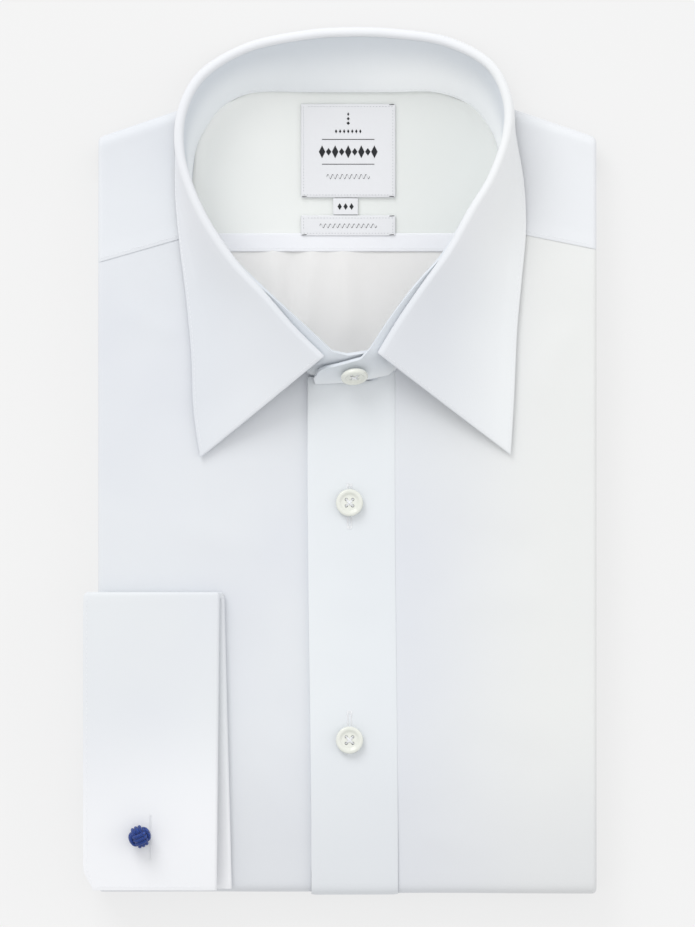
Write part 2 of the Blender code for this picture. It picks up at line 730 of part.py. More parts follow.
def neckband(material, collection):
    """The neckband, whose left end laps over the right one at the centre front."""
    sections = [band_end_section(row) for row in through(BAND_RIGHT_END, 2)]
    for row in collar_sections():
        x, y = row.seam_x, row.seam_y
        seam = Vector((x, y, front_z(x, y) + lap_out(x, y) + CLEAR))
        top = Vector((row.fold_x, row.fold_y, row.fold_z - ROLL_RADIUS - ROLL_START - CLEAR))
        leaf_way = Vector((row.edge_x - row.fold_x, row.edge_y - row.fold_y, 0)).normalized()
        lean = BAND_WALL * (top - seam).normalized().dot(leaf_way)
        seam.z += max(lean, 0.0)
        top.z += min(lean, 0.0)
        reach = max(row.lip, 0.0)
        rise = LIP_RISE * reach - LIP_DROP * reach / FULL_LIP
        sections.append(band_section(seam, top, Vector((0, 0, rise)) - leaf_way * reach))
    sections += [band_end_section(row) for row in through(BAND_LEFT_END, 2)]
    return cloth("neckband", sections[::-1], BAND_WALL, material, collection)


# ---------------------------------------------------------------- cuff, sleeve and link


def cuff_wrist_x(share):
    """The folded wrist edge, from the under half's free end (0) round the top to the upper half's (1)."""
    if share < 0.5:
        return mix(-45.4, -48.7, share * 2)
    return mix(-50.4, -51.7, share * 2 - 1)


def cuff_far_x(y, upper):
    """The cuff's other edge, rounded at its corners."""
    reach = CUFF_REACH_X if upper else CUFF_UNDER_X
    top_round = 5.0 * (1 - smooth(0.0, 16.0, CUFF_TOP_Y - y)) ** 2
    bottom_round = 4.0 * (1 - smooth(0.0, 12.0, y - CUFF_BOTTOM_Y)) ** 2
    return reach + top_round + bottom_round


def cuff_gap(x, y):
    """The space between the two halves of the cuff, widest beside the link."""
    to_wrist = smooth(-100.0, -60.0, x)
    by_link = LINK_SWELL * math.exp(-(((y - LINK_Y) / LINK_SWELL_LONG) ** 2) / 2)
    by_middle = MIDDLE_SWELL * math.exp(-(((y - MIDDLE_SWELL_Y) / MIDDLE_SWELL_LONG) ** 2) / 2)
    return CUFF_SLEEVE_GAP + to_wrist * (by_link + by_middle - WRIST_PINCH)


def cuff_profile():
    """(share across, out, shift) round the doubled cloth: outer layer, wrist fold, inner layer."""
    radius = CUFF_DOUBLE / 2
    outer = [(share, CUFF_DOUBLE, 0.0) for share in (1.0, 0.75, 0.5, 0.25, 0.06)]
    wrist = [
        (0.0, radius + radius * math.sin(turn), radius * (math.cos(turn) - 1))
        for turn in steps(math.pi / 2, -math.pi / 2, 4)
    ]
    inner = [(share, 0.0, 0.0) for share in (0.06, 0.25, 0.5, 0.75, 1.0)]
    return outer + wrist + inner


def on_half(spot, y, upper):
    """A point of the profile on the upper or the under half of the cuff."""
    share, out, shift = spot
    length = CUFF_FOLD_Y - CUFF_BOTTOM_Y
    way = FOLD_WAY * (y - CUFF_BOTTOM_Y) / length
    x = mix(cuff_wrist_x(1 - way if upper else way) + shift, cuff_far_x(y, upper), share)
    z = CUFF_INNER_Z + cuff_gap(x, y) + out if upper else CUFF_INNER_Z - out
    return Vector((x, y, z))


def on_top_fold(spot, turn):
    """A point of the profile on the fold that joins the halves. turn runs from -90 to 90 degrees."""
    share, out, shift = spot
    upper_share = turn / math.pi + 0.5
    far = mix(cuff_far_x(CUFF_FOLD_Y, False), cuff_far_x(CUFF_FOLD_Y, True), smooth(0.0, 1.0, upper_share))
    wrist = cuff_wrist_x(mix(FOLD_WAY, 1 - FOLD_WAY, upper_share)) + shift
    x = mix(wrist, far + FOLD_TAPER * math.cos(turn), share)
    radius = cuff_gap(x, CUFF_FOLD_Y) / 2
    axis_y = CUFF_TOP_Y - radius - CUFF_DOUBLE
    reach = radius + out
    return Vector((x, axis_y + reach * math.cos(turn), CUFF_INNER_Z + radius + reach * math.sin(turn)))


def cuff(material, collection, cutters):
    """The doubled cuff, flat on the right front: under half, top fold and upper half."""
    profile = cuff_profile()
    under_ys = steps(CUFF_BOTTOM_Y + 0.6, CUFF_FOLD_Y, 8)[:-1]
    upper_ys = steps(CUFF_FOLD_Y, CUFF_BOTTOM_Y, 12)[1:]
    turns = steps(-math.pi / 2, math.pi / 2, 8)
    rows = [[on_half(spot, y, False) for spot in profile] for y in under_ys]
    rows += [[on_top_fold(spot, turn) for spot in profile] for turn in turns]
    rows += [[on_half(spot, y, True) for spot in profile] for y in upper_ys]
    piece = cloth("cuff_right", rows[::-1], CUFF_WALL, material, collection)
    half = SLIT_LENGTH / 2
    sides = [
        (SLIT_X + SLIT_WIDTH / 2 * math.cos(turn), LINK_Y + half * math.sin(turn))
        for turn in steps(0.0, 2 * math.pi, 16)[:-1]
    ]
    cut(piece, prism("link_slit", sides, CUFF_INNER_Z + 1.0, CUFF_INNER_Z + 30.0, cutters))
    return piece


def sleeve(material, collection):
    """The end of the sleeve, round the side edge from between the hidden layers to inside the cuff."""
    top_z = CUFF_INNER_Z + CLEAR + SLEEVE_WALL
    corner = CUFF_UNDER_X - 3 * CLEAR - SLEEVE_WALL + SLEEVE_CORNER
    quarter = [
        (SLEEVE_CORNER * math.sin(turn), SLEEVE_CORNER * (1 - math.cos(turn)))
        for turn in steps(0.0, math.pi / 2, 4)
    ]
    profile = [(SLEEVE_UPPER_X, top_z), ((SLEEVE_UPPER_X + corner) / 2, top_z)]
    profile += [(corner - across, top_z - fall) for across, fall in quarter]
    profile += [(corner - across, SLEEVE_LOW_Z + rise) for across, rise in reversed(quarter)]
    profile += [(SLEEVE_LOWER_X, SLEEVE_LOW_Z)]
    rows = [[Vector((x, y, z)) for x, z in profile] for y in SLEEVE_YS]
    return cloth("sleeve_right", rows, SLEEVE_WALL, material, collection)


def cuff_top_z(x, y):
    return CUFF_INNER_Z + cuff_gap(x, y) + CUFF_DOUBLE


def knot_radius(way):
    """The woven ball: three strands side by side on each of its sides."""
    size = [abs(part) for part in way]
    face = size.index(max(size))
    across = way[(face + 1) % 3] / max(size)
    strands = 0.5 + 0.5 * math.cos(3 * math.pi * across)
    return KNOT_RADIUS * (0.9 + 0.1 * strands * max(size))


def link(material, collection, cutters):
    """A silk knot link: the knot on the cuff, its cord through the slit and the other knot inside."""
    surface = cuff_top_z(SLIT_X, LINK_Y)
    knot_z = cuff_top_z(KNOT_X, LINK_Y) + CLEAR + KNOT_RADIUS
    bm = bmesh.new()
    bmesh.ops.create_icosphere(bm, subdivisions=3, radius=1.0)
    for vert in bm.verts:
        way = vert.co.normalized()
        reach = way * knot_radius(way)
        vert.co = (Vector((KNOT_X, LINK_Y, knot_z)) + reach) * METRES
    knot = add_object("link_right", bm, material, collection)
    inside_z = CUFF_INNER_Z + cuff_gap(SLIT_X, LINK_Y) / 2
    cord = bpy.data.curves.new("link_cord", "CURVE")
    cord.dimensions = "3D"
    cord.bevel_depth = 0.9 * METRES
    cord.bevel_resolution = 2
    cord.use_fill_caps = True
    route = (
        (SLIT_X, inside_z),
        (SLIT_X, surface + 0.8),
        (SLIT_X - 1.2, surface + 2.4),
        (KNOT_X + 1.0, knot_z),
    )
    spline = cord.splines.new("POLY")
    spline.points.add(len(route) - 1)
    for point, (x, z) in zip(spline.points, route):
        point.co = (x * METRES, LINK_Y * METRES, z * METRES, 1)
    tube = bpy.data.objects.new("link_cord", cord)
    collection.objects.link(tube)
    joined = as_mesh(tube, cutters)
    inner = bmesh.new()
    bmesh.ops.create_uvsphere(inner, u_segments=16, v_segments=8, radius=1.0)
    thick = cuff_gap(SLIT_X, LINK_Y) / 2 - 2 * CLEAR
    for vert in inner.verts:
        vert.co = Vector(
            (SLIT_X + vert.co.x * KNOT_RADIUS, LINK_Y + vert.co.y * KNOT_RADIUS, inside_z + vert.co.z * thick)
        ) * METRES
    second = add_object("link_inner_knot", inner, material, cutters)
    for helper in (joined, second):
        helper.hide_render = True
        helper.display_type = "WIRE"
        union = knot.modifiers.new("join", "BOOLEAN")
        union.operation = "UNION"
        union.object = helper
    return knot


def as_mesh(curve_object, collection):
    """The curve object turned to a welded mesh object, under its own name."""
    graph = bpy.context.evaluated_depsgraph_get()
    mesh = bpy.data.meshes.new_from_object(curve_object.evaluated_get(graph))
    bm = bmesh.new()
    bm.from_mesh(mesh)
    bmesh.ops.remove_doubles(bm, verts=bm.verts, dist=1e-6)
    bmesh.ops.recalc_face_normals(bm, faces=bm.faces)
    bm.to_mesh(mesh)
    bm.free()
    made = bpy.data.objects.new(curve_object.name + "_mesh", mesh)
    made.matrix_world = curve_object.matrix_world
    collection.objects.link(made)
    bpy.data.objects.remove(curve_object, do_unlink=True)
    return made


# ---------------------------------------------------------------- buttons


def button_mesh(material, cutters):
    """A turned four-hole button, its back at z = 0."""
    rim, half = BUTTON_RADIUS, BUTTON_THICKNESS
    profile = (
        (0.0, half - 0.7),
        (rim * 0.52, half - 0.7),
        (rim * 0.68, half - 0.1),
        (rim * 0.84, half),
        (rim * 0.97, half - 0.5),
        (rim, half * 0.55),
        (rim * 0.9, 0.5),
        (rim * 0.6, 0.0),
        (0.0, 0.0),
    )
    mesh = bpy.data.meshes.new("button_profile")
    points = [(x * METRES, 0, z * METRES) for x, z in profile]
    mesh.from_pydata(points, [(i, i + 1) for i in range(len(points) - 1)], [])
    blank = bpy.data.objects.new("button_blank", mesh)
    cutters.objects.link(blank)
    screw = blank.modifiers.new("turn", "SCREW")
    screw.steps = screw.render_steps = 16
    screw.use_merge_vertices = True
    screw.merge_threshold = 1e-5
    for i in range(4):
        turn = math.radians(45 + 90 * i)
        reach = BUTTON_HOLE_PITCH / math.sqrt(2)
        bm = bmesh.new()
        place = Matrix.Translation(
            Vector((reach * math.cos(turn), reach * math.sin(turn), half / 2)) * METRES
        )
        bmesh.ops.create_cone(
            bm,
            cap_ends=True,
            segments=6,
            radius1=BUTTON_HOLE_RADIUS * METRES,
            radius2=BUTTON_HOLE_RADIUS * METRES,
            depth=2 * half * METRES,
            matrix=place,
        )
        cut(blank, add_object(f"button_hole_{i}", bm, None, cutters))
    graph = bpy.context.evaluated_depsgraph_get()
    made = bpy.data.meshes.new_from_object(blank.evaluated_get(graph))
    made.materials.clear()
    made.materials.append(material)
    bpy.data.objects.remove(blank, do_unlink=True)
    return made


def place_button(name, mesh, centre, facing, collection):
    """A button whose back lies at centre and whose face looks along facing."""
    obj = bpy.data.objects.new(name, mesh)
    turn = Vector((0, 0, 1)).rotation_difference(facing.normalized())
    obj.matrix_world = Matrix.Translation(centre * METRES) @ turn.to_matrix().to_4x4()
    collection.objects.link(obj)
    return obj


def buttons(material, collection, cutters):
    mesh = button_mesh(material, cutters)
    up = Vector((0, 0, 1))
    for name, y in (("button_upper", UPPER_BUTTON_Y), ("button_lower", LOWER_BUTTON_Y)):
        z = front_z(CENTRE_X, y) + PLACKET_STEP + CLEAR
        place_button(name, mesh, Vector((CENTRE_X, y, z)), up, collection)
    row = BAND_LEFT_END[0]
    seam = Vector((row.seam_x, row.seam_y, front_z(row.seam_x, row.seam_y) + row.step))
    top = Vector((row.top_x, row.top_y, row.top_z))
    facing = Vector((1, 0, 0)).cross(top - seam).normalized()
    on_band = seam.lerp(top, BUTTON_SHARE) + facing * (BAND_WALL + 2 * CLEAR + BAND_BOW)
    on_band.x = COLLAR_BUTTON_X
    place_button("button_collar", mesh, on_band, facing, collection)


# ---------------------------------------------------------------- the shirt


def main():
    clear_scene()
    shirt = new_collection("long_sleeve_dress_shirt")
    cutters = new_collection("cutters")
    poplin = new_material("white_poplin", (0.83, 0.86, 0.92), 0.85, 0.15)
    fused = new_material("fused_poplin", (0.86, 0.88, 0.93), 0.8, 0.15)
    lining = new_material("poplin_inside", (0.8, 0.81, 0.83), 0.9)
    woven = new_material("woven_label", (0.9, 0.9, 0.89), 0.7)
    shell = new_material("button_resin", (0.83, 0.84, 0.78), 0.25)
    silk = new_material("navy_cord", (0.006, 0.02, 0.12), 0.6)

    hidden_layers(lining, shirt, cutters)
    front_right(poplin, shirt)
    front_left(poplin, shirt)
    placket(fused, shirt)
    yoke("yoke_right", -1, poplin, shirt)
    yoke("yoke_left", 1, poplin, shirt)
    inner_piece("back", BACK_LOW_Y, INNER_SEAM_Y - CLEAR / 2, 6, lining, shirt)
    inner_piece("yoke_inner", INNER_SEAM_Y + CLEAR / 2, INNER_TOP_Y, 9, lining, shirt)
    for label in LABELS:
        flat_label(label, woven, shirt)
    neckband(fused, shirt)
    collar_leaf(fused, shirt)
    sleeve(poplin, shirt)
    cuff(fused, shirt, cutters)
    link(silk, shirt, cutters)
    buttons(shell, shirt, cutters)


if __name__ == "__main__":
    main()
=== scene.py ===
"""The finished look of a long sleeve dress shirt, buttoned and folded as for a shop shelf.

Shapes are worked out in millimetres in the part's own frame and turned to metres where a mesh is made. The
table is at z = 0, +Y runs from the bottom fold up to the collar, and +X towards the wearer's left. Each piece
of cloth is a thin shell on the outer face of its solid. Left and right are the wearer's.
"""

import logging
import math
from dataclasses import dataclass
from enum import Enum
from typing import Any, Callable, NamedTuple, Sequence

import bmesh
import bpy
from mathutils import Matrix, Vector, noise


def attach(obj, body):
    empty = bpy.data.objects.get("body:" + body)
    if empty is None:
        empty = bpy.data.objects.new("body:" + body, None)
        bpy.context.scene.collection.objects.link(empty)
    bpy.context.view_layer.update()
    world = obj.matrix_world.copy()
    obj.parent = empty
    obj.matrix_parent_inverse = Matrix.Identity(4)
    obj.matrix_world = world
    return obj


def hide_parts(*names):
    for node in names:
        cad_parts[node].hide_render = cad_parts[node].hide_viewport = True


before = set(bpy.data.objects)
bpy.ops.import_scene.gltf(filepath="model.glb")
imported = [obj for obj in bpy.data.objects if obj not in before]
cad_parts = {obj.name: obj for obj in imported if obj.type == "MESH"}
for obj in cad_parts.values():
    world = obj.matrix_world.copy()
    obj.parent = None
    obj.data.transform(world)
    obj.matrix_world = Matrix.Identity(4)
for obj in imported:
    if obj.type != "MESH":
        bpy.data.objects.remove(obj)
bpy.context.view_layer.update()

log = logging.getLogger("shirt")

Tree = bpy.types.NodeTree
Socket = bpy.types.NodeSocket

METRES = 0.001
CLEAR = 0.3  # between pieces that touch
BODY = "root"
EDGE_ROUND = 0.42  # of a cloth's wall, at its edges
CLOTH_MAP = "cloth"  # each cloth's own map, in millimetres along its threads
UP = Vector((0, 0, 1))


# ---------------------------------------------------------------- numbers and curves


def mix(low: float, high: float, share: float) -> float:
    """The value at share of the way from low to high."""
    return low + (high - low) * share


def smooth(low: float, high: float, value: float) -> float:
    """0 below low, 1 above high, and an even ramp with soft ends between them."""
    share = min(max((value - low) / (high - low), 0.0), 1.0)
    return share * share * (3 - 2 * share)


def steps(low: float, high: float, count: int) -> list[float]:
    """count + 1 even values from low to high."""
    return [mix(low, high, i / count) for i in range(count + 1)]


def hump(middle: float, width: float, value: float) -> float:
    """1 at the middle, falling away as a bell of that width."""
    return math.exp(-(((value - middle) / width) ** 2) / 2)


def line_y(ends: Sequence[Sequence[float]], x: float) -> float:
    """Height at x of the straight line through two (x, y) ends."""
    (x0, y0), (x1, y1) = ends
    return mix(y0, y1, (x - x0) / (x1 - x0))


def catmull_rom(before: float, start: float, end: float, after: float, t: float) -> float:
    """The value at t from start (0) to end (1) of the smooth curve through four values."""
    rise = (end - before) * t
    bend = (2 * before - 5 * start + 4 * end - after) * t * t
    twist = (3 * start - before - 3 * end + after) * t**3
    return start + (rise + bend + twist) / 2


def through(rows: Sequence[Any], each: int) -> list[Any]:
    """The rows with more of them put between, on a smooth curve through all their columns.

    Args:
        rows: NamedTuples of one kind, in order.
        each: How many steps to take from one row to the next.

    Returns:
        The given rows and those between them.
    """
    kind = type(rows[0])
    found = []
    for i in range(len(rows) - 1):
        four = rows[max(i - 1, 0)], rows[i], rows[i + 1], rows[min(i + 2, len(rows) - 1)]
        for t in steps(0.0, 1.0, each)[:-1]:
            found.append(kind(*(catmull_rom(*values, t) for values in zip(*four))))
    return found + [rows[-1]]


def y_at(path: Sequence[Sequence[float]], x: float) -> float | None:
    """Height at x of a path of (x, y) points in the order of x, or None past its ends."""
    for start, end in zip(path, path[1:]):
        if start[0] <= x <= end[0]:
            return line_y((start, end), x)
    return None


def bezier(start: Vector, start_way: Vector, end: Vector, end_way: Vector, count: int) -> list[Vector]:
    """count + 1 points of a cubic that leaves start and reaches end along the ways given."""
    reach = (end - start).length / 3
    first, second = start + start_way * reach, end - end_way * reach
    return [
        start * (1 - t) ** 3 + first * (3 * t * (1 - t) ** 2) + second * (3 * t * t * (1 - t)) + end * t**3
        for t in steps(0.0, 1.0, count)
    ]


def waver(x: float, y: float, size: float, seed: float) -> float:
    """Slow unevenness from -1 to 1 over about size, the same at each run."""
    return noise.noise(Vector((x / size, y / size, seed)))


# ---------------------------------------------------------------- nodes and finishes


def linear(hex_colour: str) -> tuple[float, float, float, float]:
    """Turns an sRGB hex value into the linear colour that a shader takes."""
    parts = [int(hex_colour.lstrip("#")[i : i + 2], 16) / 255 for i in (0, 2, 4)]
    red, green, blue = (c / 12.92 if c <= 0.04045 else ((c + 0.055) / 1.055) ** 2.4 for c in parts)
    return red, green, blue, 1.0


def add_node(
    tree: Tree,
    kind: str,
    settings: dict[str, Any] | None = None,
    values: dict[str | int, Any] | None = None,
    links: dict[str | int, Socket] | None = None,
) -> bpy.types.Node:
    """Adds a node with its settings and links.

    Args:
        tree: The material's or world's node tree.
        kind: The node's type name.
        settings: Attributes of the node itself.
        values: Values of its unlinked inputs, by name or number.
        links: Outputs of other nodes that feed its inputs, by name or number.

    Returns:
        The new node.
    """
    node = tree.nodes.new(kind)
    for name, value in (settings or {}).items():
        setattr(node, name, value)
    for name, value in (values or {}).items():
        node.inputs[name].default_value = value
    for name, source in (links or {}).items():
        tree.links.new(source, node.inputs[name])
    return node


def new_tree(name: str) -> tuple[bpy.types.Material, Tree]:
    """A new material with an empty node tree, and the tree."""
    material = bpy.data.materials.new(name)
    material.use_nodes = True
    material.node_tree.nodes.clear()
    return material, material.node_tree


def shade(tree: Tree, values: dict[str, Any], links: dict[str, Socket]) -> None:
    """Ends a material's tree with a principled shader."""
    shader = add_node(tree, "ShaderNodeBsdfPrincipled", values=values, links=links)
    add_node(tree, "ShaderNodeOutputMaterial", links={"Surface": shader.outputs["BSDF"]})


def mixed(tree: Tree, share: Socket, low: str, high: str) -> Socket:
    """The colour between two hex values, at a share from 0 to 1."""
    values = {6: linear(low), 7: linear(high)}
    return add_node(tree, "ShaderNodeMix", {"data_type": "RGBA"}, values, {0: share}).outputs[2]


def ranged(tree: Tree, value: Socket, low: float, high: float) -> Socket:
    """A value of 0 to 1 spread from low to high."""
    values = {"To Min": low, "To Max": high}
    return add_node(tree, "ShaderNodeMapRange", values=values, links={"Value": value}).outputs["Result"]


def bumped(tree: Tree, height: Socket, strength: float, depth: float) -> Socket:
    """The normal of a face with fine relief, its depth in millimetres."""
    values = {"Strength": strength, "Distance": depth * METRES}
    return add_node(tree, "ShaderNodeBump", values=values, links={"Height": height}).outputs["Normal"]


def clouds(tree: Tree, place: Socket, scale: float, detail: float, distortion: float = 0.0) -> Socket:
    """Soft unevenness from 0 to 1."""
    values = {"Scale": scale, "Detail": detail, "Distortion": distortion}
    return add_node(tree, "ShaderNodeTexNoise", values=values, links={"Vector": place}).outputs["Fac"]


def ribs(tree: Tree, place: Socket, way: str, pitch: float, values: dict[str, float]) -> Socket:
    """Parallel ribs from 0 to 1, a pitch apart in the unit of the map that place gives."""
    settings = {"wave_type": "BANDS", "bands_direction": way}
    # At scale 1 a band repeats every 2 pi / 20 of the map.
    values = {"Scale": math.tau / 20 / pitch, **values}
    return add_node(tree, "ShaderNodeTexWave", settings, values, {"Vector": place}).outputs["Fac"]


@dataclass(frozen=True)
class Tint:
    """Painted light or shade: a soft change of the cloth's white from start to end along one axis, in
    millimetres.
    """

    axis: str
    start: float
    end: float
    colour: str
    share: float


@dataclass(frozen=True)
class WovenPoplin:
    """Cotton poplin: plain weave with a fine rib, singed, bleached and pressed, so matt with a faint sheen.

    The real cloth has about 50 warp and 28 weft threads to the centimetre. The weft rib is drawn at its real
    0.36 mm and the warp at 0.4 mm, twice as coarse as it is, or no close view would show it.
    """

    name: str
    white: str  # the pressed cloth
    greyed: str  # where handling and folding leave it a little greyer
    # painted light and shade, each along one axis
    tints: tuple[Tint, ...] = ()
    warp_mm: float = 0.4
    weft_mm: float = 0.36
    relief_mm: float = 0.03
    roughness: float = 0.82
    sheen: float = 0.12

    def build(self) -> bpy.types.Material:
        """Makes the material, with its threads along the cloth's own map."""
        material, tree = new_tree(self.name)
        cloth = add_node(tree, "ShaderNodeUVMap", {"uv_map": CLOTH_MAP}).outputs["UV"]
        slub = clouds(tree, cloth, 1.1, 3.0)
        shade(
            tree,
            {
                "IOR": 1.5,
                "Specular IOR Level": 0.25,
                "Sheen Weight": self.sheen,
                "Sheen Roughness": 0.5,
            },
            {
                "Base Color": self.colour(tree),
                "Roughness": ranged(tree, slub, self.roughness - 0.05, self.roughness + 0.06),
                "Normal": bumped(tree, self.weave(tree, cloth, slub), 0.35, self.relief_mm),
            },
        )
        return material

    def colour(self, tree: Tree) -> Socket:
        """The white, with soft greyer clouds a few centimetres wide, and its tints of painted light and
        shade.
        """
        place = add_node(tree, "ShaderNodeTexCoord").outputs["Object"]
        share = add_node(
            tree,
            "ShaderNodeMapRange",
            values={"From Min": 0.35, "From Max": 0.68},
            links={"Value": clouds(tree, place, 14.0, 2.0)},
        )
        colour = mixed(tree, share.outputs["Result"], self.white, self.greyed)
        axes = add_node(tree, "ShaderNodeSeparateXYZ", links={"Vector": place})
        for tint in self.tints:
            there = add_node(
                tree,
                "ShaderNodeMapRange",
                {"interpolation_type": "SMOOTHSTEP"},
                {"From Min": tint.start * METRES, "From Max": tint.end * METRES, "To Max": tint.share},
                {"Value": axes.outputs[tint.axis]},
            )
            colour = add_node(
                tree,
                "ShaderNodeMix",
                {"data_type": "RGBA"},
                {7: linear(tint.colour)},
                {0: there.outputs["Result"], 6: colour},
            ).outputs[2]
        return colour

    def weave(self, tree: Tree, cloth: Socket, slub: Socket) -> Socket:
        """Height of the crossing threads, with the unevenness of the yarn added."""
        total = slub
        for axis, pitch in (("X", self.warp_mm), ("Y", self.weft_mm)):
            threads = ribs(tree, cloth, axis, pitch, {"Distortion": 0.6, "Detail": 1.0, "Detail Scale": 0.4})
            added = add_node(tree, "ShaderNodeMath", {"operation": "ADD"}, links={0: total, 1: threads})
            total = added.outputs["Value"]
        return total


@dataclass(frozen=True)
class FusedPoplin(WovenPoplin):
    """The same poplin bonded to a fused lining, which presses it smoother."""

    relief_mm: float = 0.02
    roughness: float = 0.76


@dataclass(frozen=True)
class SpunThread:
    """Spun and twisted thread or cord: matt, with the fine ribs of its twist."""

    name: str
    dyed: str
    worn: str
    twist_mm: float = 0.35
    roughness: float = 0.7

    def build(self) -> bpy.types.Material:
        """Makes the material."""
        material, tree = new_tree(self.name)
        place = add_node(tree, "ShaderNodeTexCoord").outputs["Object"]
        twist = ribs(tree, place, "DIAGONAL", self.twist_mm * METRES, {"Distortion": 1.5})
        shade(
            tree,
            {"Roughness": self.roughness, "IOR": 1.5, "Specular IOR Level": 0.3, "Sheen Weight": 0.2},
            {
                "Base Color": mixed(tree, twist, self.worn, self.dyed),
                "Normal": bumped(tree, twist, 0.5, 0.05),
            },
        )
        return material


@dataclass(frozen=True)
class SatinLabel:
    """Damask woven polyester label tape: a dense satin ground with a soft silky gloss along its weft."""

    name: str
    ground: str = "#e6e7ea"
    ribbed: str = "#dddee1"
    weft_mm: float = 0.3
    roughness: float = 0.5

    def build(self) -> bpy.types.Material:
        """Makes the material."""
        material, tree = new_tree(self.name)
        cloth = add_node(tree, "ShaderNodeUVMap", {"uv_map": CLOTH_MAP}).outputs["UV"]
        weft = ribs(tree, cloth, "Y", self.weft_mm, {"Distortion": 0.8, "Detail": 1.0})
        shade(
            tree,
            {"Roughness": self.roughness, "IOR": 1.55, "Sheen Weight": 0.15},
            {
                "Base Color": mixed(tree, weft, self.ribbed, self.ground),
                "Normal": bumped(tree, weft, 0.3, 0.04),
            },
        )
        return material


@dataclass(frozen=True)
class CastResin:
    """Cast polyester, turned and tumble polished: creamy, faintly clouded, with a soft gloss on its rim."""

    name: str
    body: str = "#e2e3dd"
    cloud: str = "#d9dcd3"
    roughness: float = 0.22

    def build(self) -> bpy.types.Material:
        """Makes the material."""
        material, tree = new_tree(self.name)
        place = add_node(tree, "ShaderNodeTexCoord").outputs["Object"]
        cloud = clouds(tree, place, 300.0, 3.0, 0.8)
        shade(
            tree,
            {"IOR": 1.56, "Coat Weight": 0.2, "Coat Roughness": 0.1},
            {
                "Base Color": mixed(tree, cloud, self.body, self.cloud),
                "Roughness": ranged(tree, cloud, self.roughness - 0.04, self.roughness + 0.08),
            },
        )
        return material


@dataclass(frozen=True)
class LightTable:
    """Opal acrylic lit softly from below, with a matt face, which keeps the shadows on it light and short."""

    name: str
    tone: str = "#7c7c7c"  # the acrylic by itself
    glow: float = 0.67  # its own light, of a white card's brightness

    def build(self) -> bpy.types.Material:
        """Makes the material."""
        material, tree = new_tree(self.name)
        values = {
            "Base Color": linear(self.tone),
            "Roughness": 0.95,
            "Specular IOR Level": 0.1,
            "Emission Color": (1, 1, 1, 1),
            "Emission Strength": self.glow,
        }
        shade(tree, values, {})
        return material


Finish = WovenPoplin | SpunThread | SatinLabel | CastResin | LightTable

# Painted light and shade: where the cloth's white is made warmer, greyer or lighter to stand in for how the
# light falls.
# Painted light: the left front lighter and warmer towards its side edge, as a lamp on that side would leave
# it.
LEFT_PAINTED_LIGHT = Tint("X", 20.0, 92.0, "#e1e2e0", 0.85)
# Painted shade: greyer towards the bottom fold.
BOTTOM_PAINTED_SHADE = Tint("Y", -95.0, -178.0, "#c8cace", 0.45)
# Painted light: the leaf lighter from y = 60 mm back round the neck, where it stands steep.
COLLAR_PAINTED_LIGHT = Tint("Y", 60.0, 110.0, "#e6e7ea", 0.6)
# Painted light: the cuff lighter towards its lower end.
CUFF_PAINTED_LIGHT = Tint("Y", -95.0, -165.0, "#e7e8eb", 0.9)
# Painted shade: the band greyer higher up its inner face.
BAND_TOP_PAINTED_SHADE = Tint("Z", 18.0, 34.0, "#cbd1d8", 0.75)
# Painted shade: the band greyer towards the wearer's right.
BAND_RIGHT_PAINTED_SHADE = Tint("X", 35.0, -20.0, "#dde2e7", 0.5)
# Painted shade: the right leaf greyer towards its outer edge.
LEAF_RIGHT_PAINTED_SHADE = Tint("X", -36.0, -64.0, "#d0d4da", 0.45)
# Painted light: the left leaf lighter towards its outer edge.
LEAF_LEFT_PAINTED_LIGHT = Tint("X", 40.0, 74.0, "#eceeed", 0.5)
# Painted shade: the inside of the yoke greyer from x = -32 mm to the middle and on to the left.
YOKE_INSIDE_PAINTED_SHADE = Tint("X", -32.0, 2.0, "#e2e5e3", 0.9)
# Painted light: the left shoulder lighter towards its side edge.
YOKE_LEFT_PAINTED_LIGHT = Tint("X", 40.0, 95.0, "#e0e2e5", 0.8)

POPLIN = WovenPoplin("poplin_white_pressed", "#dadde1", "#d6d9df", (LEFT_PAINTED_LIGHT, BOTTOM_PAINTED_SHADE))
YOKE_POPLIN = WovenPoplin("poplin_white_yoke", "#dcdfe3", "#d8dbe0", (YOKE_LEFT_PAINTED_LIGHT,))
PLACKET_POPLIN = FusedPoplin("poplin_white_fused_placket", "#dfe3e6", "#dbdfe3", (BOTTOM_PAINTED_SHADE,))
LEAF_POPLIN = FusedPoplin(
    "poplin_white_fused_leaf", "#dcdfe3", "#d9dce1", (LEAF_RIGHT_PAINTED_SHADE, COLLAR_PAINTED_LIGHT, LEAF_LEFT_PAINTED_LIGHT)
)
CUFF_POPLIN = FusedPoplin("poplin_white_fused_cuff", "#dbdee1", "#d8dbe0", (CUFF_PAINTED_LIGHT,))
# Painted light and shade: the band's cloth set much whiter than the leaf's to make up for the shade inside
# the neck, then greyed by its tints.
BAND_POPLIN = FusedPoplin("poplin_fused_band_painted_light_and_shade", "#f8fafb", "#f4f7f9", (BAND_RIGHT_PAINTED_SHADE, BAND_TOP_PAINTED_SHADE))
# Painted light: the reverse cloth set whiter than the outer cloth to make up for the shade inside the neck.
REVERSE_POPLIN = WovenPoplin("poplin_reverse_painted_light_and_shade", "#edefed", "#e8eae8", (YOKE_INSIDE_PAINTED_SHADE,), sheen=0.08)
